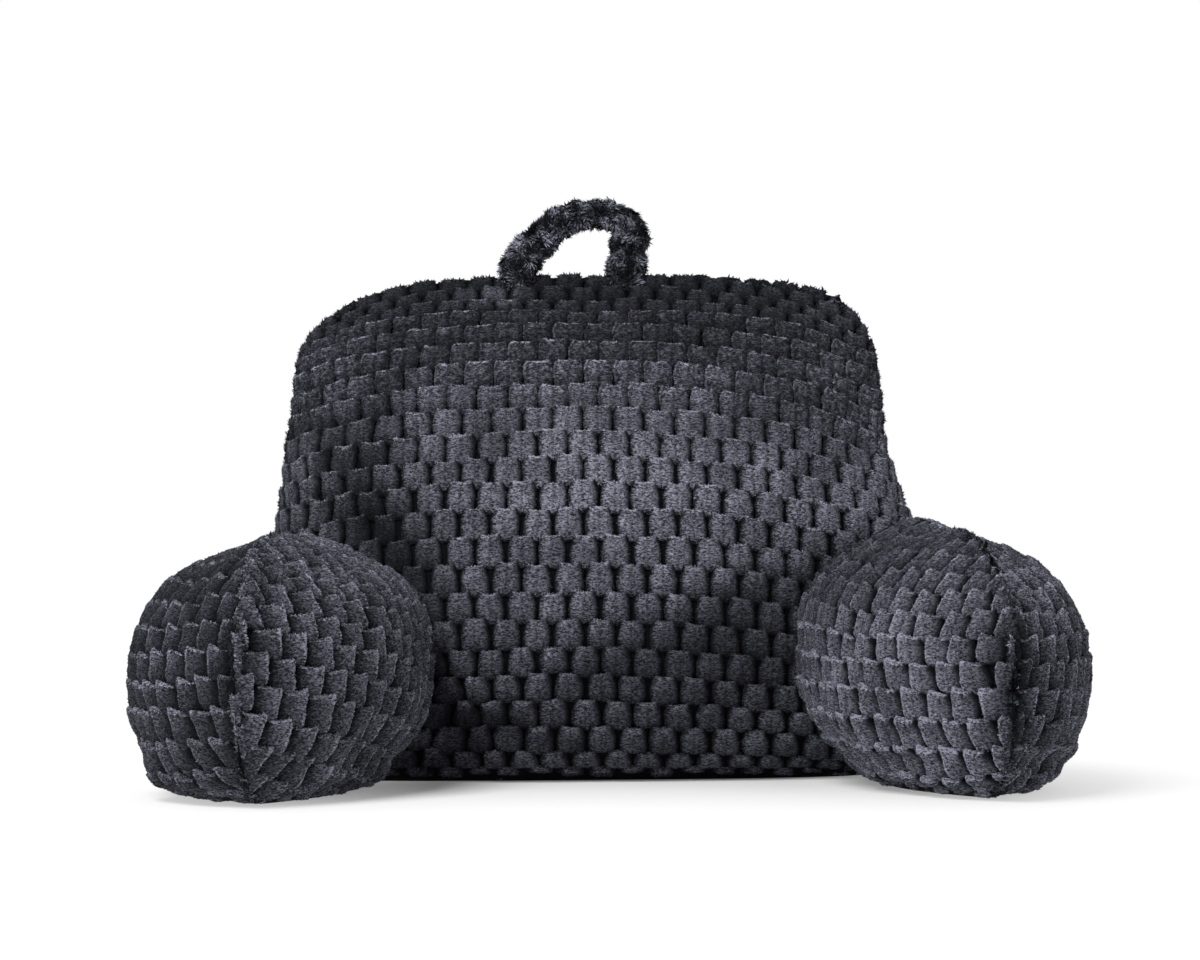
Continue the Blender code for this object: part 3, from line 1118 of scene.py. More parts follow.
def tuft_light_group():
    """The painted light and shade of the pile at a place on its tuft: Aside in tuft widths, Along
    in rows.
    """
    group, given, result = new_tree(
        "ShaderNodeTree", "Tuft light",
        (("Aside", "Float", 0.0), ("Along", "Float", 0.0), ("Slant", "Float", 0.0),
         ("Brushed", "Float", 1.0), ("Closed", "Float", 0.0), ("Unrest", "Float", 0.5)),
        (("Light", "Float"),),
    )
    brushed, closed, slant = given["Brushed"], given["Closed"], given["Slant"]
    unrest = given["Unrest"] - 0.5
    aside = unrest.times_plus(0.07, given["Aside"])
    along = unrest.times_plus(0.08, given["Along"])
    off = abs(aside)
    far = aside * slant
    slanted = abs(slant)
    edge = along.ranged((TUFT_HEAD, 0.20), (0.32, 0.470)) - off
    # Painted shade at the tuft's foot.
    foot = along.smooth((-0.55, -0.38), (0.0, 1.0))

    # Painted shade: the sides darken into the grooves, but not the far side of a leaning tuft.
    groove_shade_width = far.ranged((-0.02, 0.08), (0.26, 0.04))
    side = (edge / groove_shade_width).smooth((-0.05, 1.0), (0.0, 1.0))
    soft = brushed.smooth((0.15, 0.50), (1.0, 0.0)) * 0.16
    side = side.at_least(soft * edge.smooth((-0.30, -0.02), (0.0, 1.0)))
    # Painted light on the side towards the key lamp and on the far side of a leaning tuft, painted
    # shade on its near side.
    lamp_side = aside.ranged((-0.15, 0.2), (1.06, 0.84))
    leaning = far.smooth((-0.50, 0.42), (0.10, 1.35))
    light = side * foot * blend(slanted, lamp_side, leaning)

    # A painted highlight lies on the lip of the head, deepest in its middle, where the head is
    # parted; down the parting lies painted shade.
    lip = (along - off.times_plus(0.20, 0.47)).smooth((0.0, 0.05), (0.0, 1.0))
    parting_shade = off.smooth((0.0, 0.06), (0.55, 1.0))
    light = light * parting_shade.at_least(lip.at_least(slanted))
    bright = lip * off.smooth((0.37, 0.22), (0.0, 1.8))
    bright = bright * brushed.ranged((0.08, 0.32), (2.8, 1.0))
    clear = closed.ranged((0.0, 0.6), (0.30, 1.0))
    clear = clear.at_least(brushed.smooth((0.35, 0.80), (0.0, 1.0)))
    bright = bright * clear.at_least(slanted * 0.75)

    # A painted highlight on the rim of the far side of a leaning tuft.
    rim = edge.smooth((0.12, 0.07), (0.0, 1.0)) * far.smooth((0.05, 0.15), (0.0, 3.2))
    bright = bright.at_least(rim * foot)

    # Where tufts are closed, painted highlights streak the pile up their sides.
    streak = abs(edge - 0.045).smooth((0.0, 0.07), (1.0, 0.0))
    streak = streak * closed.ranged((0.9, 1.0), (0.0, 1.7))
    streak = streak * aside.ranged((-0.1, 0.1), (1.0, 0.45))
    light = light.at_least(bright.at_least(streak * foot))

    # Where the painted light is dim, the heads keep more of it than the feet.
    away = brushed.ranged((0.25, 0.75), (1.0, 0.0))
    shown = along.ranged((-0.45, 0.50), (0.42, 1.80))
    feed(result["Light"], light * blend(away, 1.0, shown) * brushed)
    return group


def object_place(tree):
    return put(tree, "ShaderNodeTexCoord", out="Object")


def kept_value(tree, name):
    """A value that the mesh keeps under that name."""
    return put(tree, "ShaderNodeAttribute", out="Fac", attribute_name=name)


class Finishes:
    """The pillow's materials, made once from the colours in the sidebar."""

    def __init__(self, colours):
        self.colours = colours
        self.brushed = brushed_group()
        self.tuft_light = tuft_light_group()
        self.tuft = self.plush("back_plush_tufts", brightness=0.85)
        self.pile = self.locks("back_plush_pile", variety=0.60, dullest=0.22, root=0.6)
        self.shag = self.locks("handle_plush_pile", variety=3.4, dullest=-0.35, root=0.0)
        self.skin = self.ground("plush_backing")

    def started(self, name, roughness, sheen):
        made = bpy.data.materials.new(name)
        made.use_nodes = True
        surface = made.node_tree.nodes["Principled BSDF"].inputs
        surface["Metallic"].default_value = 0.0
        surface["Roughness"].default_value = roughness
        surface["Specular IOR Level"].default_value = 0.06
        surface["Sheen Weight"].default_value = sheen
        surface["Sheen Roughness"].default_value = 0.35
        surface["Sheen Tint"].default_value = (*self.colours.sheen_tint, 1.0)
        return made, made.node_tree, surface

    def colour_of(self, lightness):
        """From the pile in painted shade to its tips in painted light, by its lightness."""
        return blend(lightness, (*self.colours.deep_pile, 1.0), (*self.colours.pile_tips, 1.0))

    def nap(self, tree):
        """The patches and ripples of the pile at this place."""
        patches = put(tree, "ShaderNodeGroup", node_tree=self.brushed, inputs={
            "Vector": object_place(tree), "Speckled": kept_value(tree, "closed")})
        return patches, patches.beside("Ripples")

    def lit(self, unrest):
        """The painted light and shade of this place on its tuft and on its part of the cushion."""
        tree = unrest.tree
        inputs = {name: kept_value(tree, name.lower())
                  for name in ("Aside", "Along", "Slant", "Brushed", "Closed")}
        inputs["Unrest"] = unrest
        return put(tree, "ShaderNodeGroup", node_tree=self.tuft_light, inputs=inputs)

    def plush(self, name, brightness):
        """The body of a tuft: painted shade near black in the grooves, painted light on its crown.
        """
        made, tree, surface = self.started(name, roughness=0.85, sheen=0.0)
        patches, ripples = self.nap(tree)
        light = ripples.times_plus(0.90, 0.10) * self.lit(ripples) * patches * brightness
        feed(surface["Base Color"], self.colour_of(light))
        feed(surface["Normal"], put(tree, "ShaderNodeBump", inputs={
            "Strength": 0.8, "Distance": 0.001, "Height": ripples}))
        return made

    def locks(self, name, variety, dullest, root):
        """Single locks of pile, each with its own shade; root is their lightness at the cloth."""
        made, tree, surface = self.started(name, roughness=0.75, sheen=self.colours.sheen)
        patches, ripples = self.nap(tree)
        shade = kept_value(tree, "fibre_shade")
        light = kept_value(tree, "tuft_shade").times_plus(0.16, shade.times_plus(variety, dullest))
        light = light * ripples.times_plus(1.55, 0.10) * patches
        # The painted light and shade of its tuft, and lighter towards the tip.
        light = light * kept_value(tree, "tip").times_plus(1.0 - root, root) * self.lit(shade)
        feed(surface["Base Color"], self.colour_of(light))
        return made

    def ground(self, name):
        """The knitted backing between the tufts and under the pillow, near black: painted shade
        down in the grooves.
        """
        made, tree, surface = self.started(name, roughness=0.95, sheen=0.0)
        knit = noise(tree, object_place(tree), scale=900.0, detail=1.0)
        deepest_shade = tuple(0.6 * value for value in self.colours.deep_pile)
        feed(surface["Base Color"], blend(
            knit.ranged((0.3, 0.7), (0.0, 1.0)), (*deepest_shade, 1.0), (*self.colours.deep_pile, 1.0)))
        feed(surface["Normal"], put(tree, "ShaderNodeBump", inputs={
            "Strength": 0.4, "Distance": 0.0005, "Height": knit}))
        return made


@functools.cache
def finishes():
    return Finishes(bpy.context.scene.pillow_colours)


# ---- sidebar properties ------------------------------------------------------------------------


class PillowSizes(bpy.types.PropertyGroup):
    """Sizes of the tufts and the pile, and how far the filling gives"""

    tuft_width: FloatProperty(
        name="Tuft Width", description="From one tuft to the next along a row",
        default=0.0264, min=0.01, max=0.06, unit="LENGTH")
    row_height: FloatProperty(
        name="Row Height", description="From one row of tufts to the next",
        default=0.0242, min=0.01, max=0.06, unit="LENGTH")
    relief: FloatProperty(
        name="Relief", description="How far a tuft stands above the backing",
        default=0.0068, min=0.002, max=0.012, unit="LENGTH")
    seam_pull: FloatProperty(
        name="Seam Pull", description="Width of cloth that a seam draws down on each side",
        default=0.006, min=0.001, max=0.02, unit="LENGTH")
    pile_length: FloatProperty(
        name="Pile Length", description="Length of a lock of pile on the cushions",
        default=0.0019, min=0.001, max=0.01, unit="LENGTH")
    pile_thickness: FloatProperty(
        name="Pile Thickness", description="Width of a lock of pile at its base",
        default=0.0012, min=0.0003, max=0.003, unit="LENGTH")
    pile_density: FloatProperty(
        name="Pile Density", description="Locks of pile for each square metre of plush",
        default=330000.0, min=1000.0, max=600000.0)
    handle_pile_length: FloatProperty(
        name="Handle Pile Length", description="Length of a lock of pile on the handle",
        default=0.0065, min=0.001, max=0.015, unit="LENGTH")
    filling_give: FloatProperty(
        name="Filling Give", description="How far the filling may push a point of the cloth",
        default=0.004, min=0.0, max=0.02, unit="LENGTH")
    seed: IntProperty(
        name="Seed", description="Another number gives other random tufts and pile",
        default=7, min=0)


class PillowColours(bpy.types.PropertyGroup):
    """Colours of the plush and the floor"""

    # The pile in painted shade: the dark end of its painted light, and the colour of the backing.
    deep_pile: FloatVectorProperty(
        name="Shaded Pile", description="Colour down between the tufts",
        default=(0.0040, 0.0044, 0.0060), subtype="COLOR", size=3, min=0.0, max=1.0)
    pile_tips: FloatVectorProperty(
        name="Pile Tips", description="Colour of the lightest locks",
        default=(0.298, 0.303, 0.374), subtype="COLOR", size=3, min=0.0, max=1.0)
    sheen: FloatProperty(
        name="Sheen", description="Velvet shine at glancing angles",
        default=0.04, min=0.0, max=1.0, subtype="FACTOR")
    sheen_tint: FloatVectorProperty(
        name="Sheen Tint", description="Colour of the velvet shine",
        default=(0.62, 0.68, 0.85), subtype="COLOR", size=3, min=0.0, max=1.0)
    floor: FloatVectorProperty(
        name="Floor", description="Colour of the plain floor",
        default=(0.86, 0.86, 0.86), subtype="COLOR", size=3, min=0.0, max=1.0)


class StudioSettings(bpy.types.PropertyGroup):
    """Light, and the camera's place"""

    rear_surround: FloatProperty(
        name="Rear Surround", description="Brightness of the white studio behind the pillow",
        default=0.9, min=0.0, max=5.0)
    front_surround: FloatProperty(
        name="Front Surround", description="Brightness of the studio behind the camera",
        default=0.15, min=0.0, max=5.0)
    floor_glow: FloatProperty(
        name="Floor Glow", description="Brightness of the floor far from the pillow",
        default=1.0, min=0.0, max=5.0)
    key_power: FloatProperty(
        name="Key Power", description="Power of the large lamp above the camera",
        default=110.0, min=0.0, max=1000.0, unit="POWER")
    fill_power: FloatProperty(
        name="Fill Power", description="Power of the low lamp beside the camera",
        default=12.0, min=0.0, max=1000.0, unit="POWER")
    camera_distance: FloatProperty(
        name="Camera Distance", description="From the camera to the middle of the pillow",
        default=2.755, min=0.5, max=10.0, unit="LENGTH")
    camera_height: FloatProperty(
        name="Camera Height", description="Height of the camera above the floor",
        default=0.185, min=0.0, max=3.0, unit="LENGTH")


# ---- pieces ------------------------------------------------------------------------------------

SKIN_BAKE_SHARE = 0.12      # the strip of the baked picture that the skin takes
SKIN_BAKE_EDGE = 0.01       # left empty beside and below each panel, in shares of the strip
PANEL_BAKE_WIDTH = 0.44
PANEL_BAKE_HEIGHT = 0.96
BASE_BAKE_X = 0.955         # the base lies beside both panels
BASE_BAKE_WIDTH = 0.03
BAKE_CELLS = 30             # tufts, or locks of pile, in a row of the baked picture
PILE_BAKE_CELLS = 420
HANDLE_BAKE_CELLS = 200
MERGE_GAP = 0.00001
NEXT_PANEL_SEED = 20        # how far apart the seeds of neighbouring panels are


def join_pieces(pieces, name):
    """One object of several."""
    for other in bpy.context.view_layer.objects:
        other.select_set(other in pieces)
    bpy.context.view_layer.objects.active = pieces[0]
    bpy.ops.object.join()
    whole = pieces[0]
    whole.name = name
    whole.data.name = name
    whole.select_set(False)
    return whole


def bake_skin(mesh, form, points):
    """Lays both panels and the base of a skin side by side at the foot of the baked picture."""
    bake = mesh.uv_layers.new(name="OFBake")
    rows, columns, _ = form.first.shape
    place = {}
    for grid, start in zip(form.indices(), (0.0, 0.5)):
        for j in range(rows):
            for i in range(columns):
                place[(start, int(grid[j, i]))] = (
                    start + SKIN_BAKE_EDGE + PANEL_BAKE_WIDTH * i / (columns - 1),
                    (SKIN_BAKE_EDGE + PANEL_BAKE_HEIGHT * j / (rows - 1)) * SKIN_BAKE_SHARE)
    panel_faces = (rows - 1) * (columns - 1)
    for face in mesh.polygons:
        start = 0.0 if face.index < panel_faces else 0.5
        for loop in face.loop_indices:
            vertex = mesh.loops[loop].vertex_index
            if face.index < 2 * panel_faces:
                bake.data[loop].uv = place[(start, vertex)]
            else:
                x, y, _ = points[vertex]
                bake.data[loop].uv = (
                    BASE_BAKE_X + BASE_BAKE_WIDTH * x, (0.5 + y) * SKIN_BAKE_SHARE)


def skin_piece(form, name, inset, edge_inset, material):
    """The backing cloth under the tufts: the closed form, drawn in by the relief."""
    mesh = form.closed_mesh(name)
    points, normals = points_of(mesh), normals_of(mesh)
    away, from_corner = np.zeros(len(points)), np.zeros(len(points))
    for grid, panel in zip(reversed(form.indices()), (form.second, form.first)):
        away[grid] = seam_distance(panel)
        from_corner[grid] = np.hypot(*edge_distances(panel))
    # It comes out to the seams, more so at a corner, and stands on the floor.
    depth = np.minimum(inset, edge_inset + 0.5 * away)
    depth *= 0.25 + 0.75 * smoothstep(0.0, 0.04, from_corner)
    depth *= smoothstep(0.0, 0.012, points[:, 2])
    points -= normals * depth[:, None]
    move_points(mesh, points)
    bake_skin(mesh, form, points)
    keep_on(mesh, "tuft_height", np.full(len(points), -1.0))
    mesh.materials.append(material)
    mesh.shade_smooth()
    mesh.update()
    return link(mesh, name)


def outward_grids(form):
    """The outward way at every point of both panels."""
    _, normals = form.surface()
    first, second = form.indices()
    return normals[first], normals[second]


class Cloth(NamedTuple):
    """A panel ready for its tufts."""

    name: str
    grid: np.ndarray
    out: np.ndarray             # the outward way at each of its points
    u: np.ndarray               # where each point lies on the flat cloth
    v: np.ndarray
    brushed: np.ndarray         # painted light and shade on its pile, with random patches
    column_start: float = 0.0
    buried: np.ndarray = 0.0    # where it lies inside the back cushion
    closed: np.ndarray = 0.0    # where the tufts stand shoulder to shoulder
    slant: float = 0.0          # the side that a tuft leans to, away from the front seam
    fill: float = 1.0           # width of a tuft as a share of its column
    unevenness: float = 0.0008
    seam_relief: float = 0.75   # share of the relief that is left at a seam
    brick_shift: float = 0.5
    tuft_width: float = 0.0     # where it isn't the usual one
    apart: bool = False         # whether its tufts are a piece of their own


def panel_object(cloth):
    """A panel as a mesh whose points know their cloth place, outward way and seam distance."""
    rows, columns, _ = cloth.grid.shape
    index = np.arange(rows * columns).reshape(rows, columns)
    faces = np.stack(
        (index[:-1, :-1], index[:-1, 1:], index[1:, 1:], index[1:, :-1]), axis=-1
    ).reshape(-1, 4)
    mesh = bpy.data.meshes.new(cloth.name)
    mesh.from_pydata(cloth.grid.reshape(-1, 3).tolist(), [], faces.tolist())
    keep_on(mesh, "cloth", np.stack((cloth.u, cloth.v, np.zeros_like(cloth.u)), axis=-1))
    keep_on(mesh, "outward", cloth.out)
    keep_on(mesh, "across", np.gradient(cloth.grid, axis=1))
    keep_on(mesh, "seam", seam_distance(cloth.grid))
    # Among these, the painted light and shade of its pile.
    for label, values in (
        ("brushed", cloth.brushed), ("buried", cloth.buried), ("closed", cloth.closed)
    ):
        keep_on(mesh, label, np.broadcast_to(values, (rows, columns)))
    mesh.update()
    return link(mesh, cloth.name)


def tufts_on(cloth, sizes, bake_first, seed):
    """Grows the tufts of one panel."""
    panel = panel_object(cloth)
    width = cloth.tuft_width or sizes.tuft_width
    first_column = math.floor((cloth.u.min() - cloth.column_start) / width) - 1
    last_column = math.ceil((cloth.u.max() - cloth.column_start) / width) + 1
    first_row = math.floor(cloth.v.min() / sizes.row_height) - 1
    last_row = math.ceil(cloth.v.max() / sizes.row_height) + 2
    tufts = grown(
        panel, tuft_tree(), cloth.name + "_tufts", pattern=tuft_pattern(), tuft_width=width,
        row_height=sizes.row_height, relief=sizes.relief, seam_pull=sizes.seam_pull,
        columns=last_column - first_column, rows=last_row - first_row,
        first_column=first_column, first_row=first_row, column_start=cloth.column_start,
        bake_first=bake_first, bake_cells=BAKE_CELLS, bake_skirt=SKIN_BAKE_SHARE,
        fill=cloth.fill, slant=cloth.slant, unevenness=cloth.unevenness,
        seam_relief=cloth.seam_relief, brick_shift=cloth.brick_shift, seed=seed,
        plush=finishes().tuft)
    bpy.data.objects.remove(panel)
    return tufts


def strayed(grid, amount, scale, seed):
    """Smooth unevenness over a grid of points."""
    return amount * lumps(grid.reshape(-1, 3), scale, seed).reshape(grid.shape[:-1])


def hump(value, middle, width):
    """1 at the middle, falling away smoothly to both sides."""
    return np.exp(-((value - middle) / width) ** 2)


def columns_from(grid, middle_x):
    """Length of cloth along each grid row, from where it crosses the middle."""
    u = arc_along(grid)
    way = np.sign(grid[0, -1, 0] - grid[0, 0, 0])
    origin = [np.interp(way * middle_x, way * line[:, 0], arc) for line, arc in zip(grid, u)]
    return u - np.array(origin)[:, None]


def front_painted_light(front, row):
    """Painted light and shade on the pile of the back cushion's front, at each point and tuft row.
    """
    x, z = front[..., 0], front[..., 2]
    # Painted light over the front, dimmer in its upper rows.
    brushed = 0.17 - 0.02 * smoothstep(10.0, 14.0, row) - 0.06 * smoothstep(15.5, 18.5, row)
    # Painted light on the belly, which faces the lamp. Low down, its lit part moves to -X and grows
    # narrow.
    belly = hump(row, 9.0, np.where(row > 9.0, 3.4, 5.4))
    low = 1.0 - smoothstep(5.0, 9.0, row)
    brightest = 0.03 - 0.022 * np.maximum(10.0 - row, 0.0)
    middle = np.maximum(1.0 - (0.35 + 1.6 * low) * ((x - brightest) / 0.25) ** 2, 0.0)
    brushed += 0.80 * belly * middle
    # Painted light above the arms, where its sides turn into the light, more so at +X.
    brushed += (0.12 + 0.07 * np.sign(x)) * smoothstep(0.15, 0.26, np.abs(x)) * smoothstep(
        9.0, 12.0, row)
    # Painted shade in a valley along the left arm, and painted light on the foot.
    valley = -0.166 - 0.045 * smoothstep(5.0, 9.5, row)
    shade = hump(x, valley, 0.038) * (1.0 - smoothstep(9.5, 12.5, row))
    brushed *= 1.0 - 0.90 * shade
    brushed += (0.20 + 0.05 * shade) * (1.0 - smoothstep(-1.0, 3.5, row))
    # Two faint places of painted light at +X, one high and one low.
    brushed += 0.06 * smoothstep(-0.02, 0.12, x) * hump(row, 14.5, 3.0)
    brushed += 0.06 * smoothstep(0.05, 0.15, x) * (1.0 - smoothstep(4.0, 8.0, row))
    # Painted shade in the creases.
    for crease in CREASES:
        brushed *= 1.0 - 0.5 * furrow(front, crease)
    # Painted light and shade in patches where the cloth lies crumpled.
    brushed *= 1.0 + 0.9 * crumpled(front) * strayed(front, 1.0, scale=45.0, seed=41)
    # A painted highlight below the handle's left root, on a fold of the cloth.
    return brushed + 0.34 * hump(x, -0.097, 0.022) * hump(z, 0.428, 0.007)


def back_cloths(form, sizes):
    """Both panels of the back cushion; the cloth's columns are counted from its middle."""
    out_front, out_rear = outward_grids(form)
    front, rear = form.first, form.second[:, ::-1]
    # Its rows of tufts sag towards +X.
    sag = np.maximum(front[:, :, 0] - BACK_MIDDLE_X, 0.0) / 0.155
    row = form.row[:, None] + 0.45 * sag ** 1.5
    uneven = 0.0006 + 0.006 * crumpled(front)
    rise = arc_up(rear, rear.shape[1] // 2)
    v_rear = np.repeat(rise[:, None], rear.shape[1], axis=1)
    # The front's pile takes its painted light and shade from a map, the rear's an even painted
    # light.
    return (
        Cloth("back_front", front, out_front,
              columns_from(front, BACK_MIDDLE_X) + strayed(front, uneven, scale=60.0, seed=31),
              row * sizes.row_height + strayed(front, uneven, scale=60.0, seed=37),
              front_painted_light(front, row),
              closed=smoothstep(6.5, 13.5, row) * (1.0 - 0.8 * smoothstep(17.2, 18.6, row)),
              seam_relief=1.0),
        Cloth("back_rear", rear, out_rear[:, ::-1], columns_from(rear, BACK_MIDDLE_X), v_rear,
              np.full_like(v_rear, 0.5), apart=True),
    )


def back_solid():
    """The solid of the back cushion, its loose triangles merged."""
    shape = bmesh.new()
    shape.from_mesh(frame["nodes"]["back_cushion"].data)
    bmesh.ops.remove_doubles(shape, verts=shape.verts, dist=MERGE_GAP)
    return shape


def buried_in_back(points, depth):
    """1 at each point that lies deeper than that inside the back cushion, and 0 elsewhere."""
    shape = back_solid()
    tree = BVHTree.FromBMesh(shape)
    buried = []
    for point in points.reshape(-1, 3):
        place, normal, _, distance = tree.find_nearest(Vector(point))
        inside = (Vector(point) - place).dot(normal) < 0.0
        buried.append(float(inside and distance > depth))
    shape.free()
    return np.array(buried).reshape(points.shape[:-1])


def arm_cloths(form, arm, sizes):
    """Both panels of an arm; the cloth's columns are counted from the front seam."""
    out_first, out_second = outward_grids(form)
    cloths = []
    # In the form, the first panel faces -X. Its columns run from the rear to the front.
    for way, grid, out in ((-1, form.first, out_first), (1, form.second, out_second)):
        inner = way != arm.side
        panel = arm.inner if inner else arm.outer
        arc = arc_along(grid)
        from_seam = arc[:, -1:] - arc
        from_seam = from_seam + (grid[:, -1, 1] - grid[:, -1, 1].min())[:, None]
        v = (form.row + arm.row_shift)[:, None] + panel.tilt * from_seam
        u = way * from_seam
        if way > 0:
            u, v, grid, out = u[:, ::-1], v[:, ::-1], grid[:, ::-1], out[:, ::-1]
        height = grid[..., 2]
        messy = hump(u, 0.0, 0.045) * smoothstep(0.10, 0.17, height)
        # Painted light and shade on the panel's pile: by how it faces the lamps, at its top and its
        # foot, painted shade beside the front seam, and patches of it where the cloth is messy.
        lightness = np.full_like(v, panel.brushed)
        lightness *= 1.0 + (panel.top_light - 1.0) * smoothstep(0.10, 0.19, height)
        lightness *= 1.0 + (panel.foot_light - 1.0) * (1.0 - smoothstep(0.02, 0.09, height))
        lightness *= 1.0 - panel.seam_shade * hump(u, 0.0, panel.seam_reach)
        patchy = strayed(grid, 1.0, scale=62.0, seed=63)
        lightness *= np.maximum(1.0 + 1.6 * messy * patchy, 0.15)
        u = u + strayed(grid, 0.0022, scale=28.0, seed=51)
        u = u + messy * strayed(grid, 0.007, scale=60.0, seed=67)
        v = v + strayed(grid, 0.0022, scale=28.0, seed=57) / sizes.row_height
        v = v + messy * strayed(grid, 0.007, scale=60.0, seed=71) / sizes.row_height
        cloths.append(Cloth(
            f"{arm.node}_{'inner' if inner else 'outer'}", grid, out, u,
            v * sizes.row_height, lightness, way * arm.column_start,
            buried_in_back(grid, TUFTS_BURIED), slant=way * panel.slant,
            fill=1.04, unevenness=0.0016, seam_relief=0.45))
    return cloths


SEAM_TUFT = 0.021           # breadth of cloth that one tuft on an arm's front seam takes
SEAM_STRIP = 0.007          # the seam's strip of cloth reaches this far on each side
SEAM_STEPS = 3              # columns of the strip on each side
TUFTS_BURIED = 0.007        # depth in the back cushion at which an arm's tufts end
SEAM_BURIED = 0.004


def seam_cloth(form, arm, sizes):
    """The strip of cloth over an arm's front seam, with one narrow tuft for each row."""
    out_first, out_second = outward_grids(form)
    # Both panels end at the front seam, the first from the left and the second from the right.
    steps = np.linspace(0.0, SEAM_STRIP, SEAM_STEPS + 1)
    rows, columns = form.first.shape[0], 2 * SEAM_STEPS + 1
    grid, out = np.zeros((rows, columns, 3)), np.zeros((rows, columns, 3))
    for j in range(rows):
        for way, panel, normals in ((-1, form.first, out_first), (1, form.second, out_second)):
            line, facing = panel[j, ::-1], normals[j, ::-1]
            arc = np.concatenate(((0.0,), np.cumsum(np.linalg.norm(np.diff(line, axis=0), axis=1))))
            for number, step in enumerate(steps):
                column = SEAM_STEPS + way * number
                for axis in range(3):
                    grid[j, column, axis] = np.interp(step, arc, line[:, axis])
                    out[j, column, axis] = np.interp(step, arc, facing[:, axis])
    u = np.repeat(np.concatenate((-steps[:0:-1], steps))[None, :], rows, axis=0)
    v = np.repeat((form.row + arm.row_shift + 0.5)[:, None], columns, axis=1) * sizes.row_height
    # Its pile takes the arm's painted light for the seam.
    return Cloth(f"{arm.node}_seam", grid, out, u, v, np.full_like(v, arm.seam_brushed),
                 buried=buried_in_back(grid, SEAM_BURIED), fill=0.80, unevenness=0.0032,
                 seam_relief=1.0, brick_shift=0.12, tuft_width=SEAM_TUFT)


def cut_by_back(piece):
    """Trims the skin where it is sewn against the back cushion."""
    mesh = bpy.data.meshes.new("back_cutter")
    shape = back_solid()
    shape.to_mesh(mesh)
    shape.free()
    trim = piece.modifiers.new("sewn_to_back", "BOOLEAN")
    trim.operation = "DIFFERENCE"
    trim.solver = "EXACT"
    trim.object = link(mesh, "back_cutter")
    mesh = evaluated_mesh(piece)
    bpy.data.objects.remove(trim.object)
    piece.modifiers.remove(trim)
    piece.data = mesh


def declare(piece, node):
    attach(piece, "root")
    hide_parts(node)


class Sewn(NamedTuple):
    """How a cushion's skin ends at its seams."""

    edge_inset: float       # how far the skin is drawn in there
    shag_reach: float       # how far from a seam the pile is shaggy
    trimmed: bool           # whether it is sewn against the back cushion


BACK_SEWN = Sewn(0.0066, 0.018, False)
ARM_SEWN = Sewn(0.0012, 0.009, True)


def cushion(form, cloths, node, sewn, seed):
    """Skin, tufts and pile of one cushion."""
    sizes = bpy.context.scene.pillow_sizes
    skin = skin_piece(form, node + "_skin", sizes.relief, sewn.edge_inset, finishes().skin)
    if sewn.trimmed:
        cut_by_back(skin)
    covers = []
    bake_first = 0
    for number, cloth in enumerate(cloths):
        if cloth.apart:
            bake_first = 0
        tufts = tufts_on(cloth, sizes, bake_first, seed + NEXT_PANEL_SEED * number)
        cells = np.zeros(len(tufts.data.vertices), dtype=np.float32)
        tufts.data.attributes["cell"].data.foreach_get("value", cells)
        bake_first = int(cells.max()) + 1
        covers.append(tufts)
    piles = [
        grown(tufts, pile_tree(), cloth.name + "_pile", pattern=blade_pattern(),
              pile=finishes().pile, density=sizes.pile_density, length=sizes.pile_length,
              thickness=sizes.pile_thickness, seed=seed + number,
              shag_reach=sewn.shag_reach, bake_cells=PILE_BAKE_CELLS)
        for number, (cloth, tufts) in enumerate(zip(cloths, covers))
    ]
    apart = [tufts for cloth, tufts in zip(cloths, covers) if cloth.apart]
    joint = [tufts for tufts in covers if tufts not in apart]
    declare(join_pieces([skin] + joint, node + "_plush"), node)
    for piece in apart + piles:
        declare(piece, node)


def handle_mesh(name):
    """The strap as a soft tube along its route."""
    route = smooth_levels(HANDLE_POINTS, HANDLE_SPAN_STEPS)
    centres = np.array([(p.x, p.y, p.z) for p in route]) + TABLE_TO_FRAME
    thickness = np.array([p.thickness for p in route])
    tangents = np.gradient(centres, axis=0)
    tangents /= np.linalg.norm(tangents, axis=1, keepdims=True)
    depth_way = np.array((0.0, 1.0, 0.0))
    rings = []
    for centre, tangent, thick in zip(centres, tangents, thickness):
        across = np.cross(tangent, depth_way)
        across /= np.linalg.norm(across)
        depth = np.cross(across, tangent)
        ring = []
        for side in range(HANDLE_SIDES):
            angle = 2 * math.pi * side / HANDLE_SIDES
            radius = thick * 0.5 - HANDLE_INSET
            ring.append(centre + radius * (math.cos(angle) * across + math.sin(angle) * depth))
        rings.append(ring)
    shape = bmesh.new()
    bake = shape.loops.layers.uv.new("OFBake")
    rows = [[shape.verts.new(p) for p in ring] for ring in rings]
    last = len(rows) - 1
    for j in range(last):
        for i in range(HANDLE_SIDES):
            k = (i + 1) % HANDLE_SIDES
            face = shape.faces.new((rows[j][i], rows[j][k], rows[j + 1][k], rows[j + 1][i]))
            for loop, (a, b) in zip(face.loops, ((i, j), (i + 1, j), (i + 1, j + 1), (i, j + 1))):
                loop[bake].uv = (0.01 + 0.98 * a / HANDLE_SIDES, 0.12 + 0.87 * b / last)
    # Both ends of the strap lie below it in the baked picture.
    for row, middle in ((rows[0][::-1], 0.2), (rows[-1], 0.6)):
        face = shape.faces.new(row)
        for number, loop in enumerate(face.loops):
            angle = 2 * math.pi * number / HANDLE_SIDES
            loop[bake].uv = (middle + 0.05 * math.cos(angle), 0.055 + 0.05 * math.sin(angle))
    bmesh.ops.recalc_face_normals(shape, faces=shape.faces)
    mesh = bpy.data.meshes.new(name)
    shape.to_mesh(mesh)
    shape.free()
    mesh.shade_smooth()
    return mesh


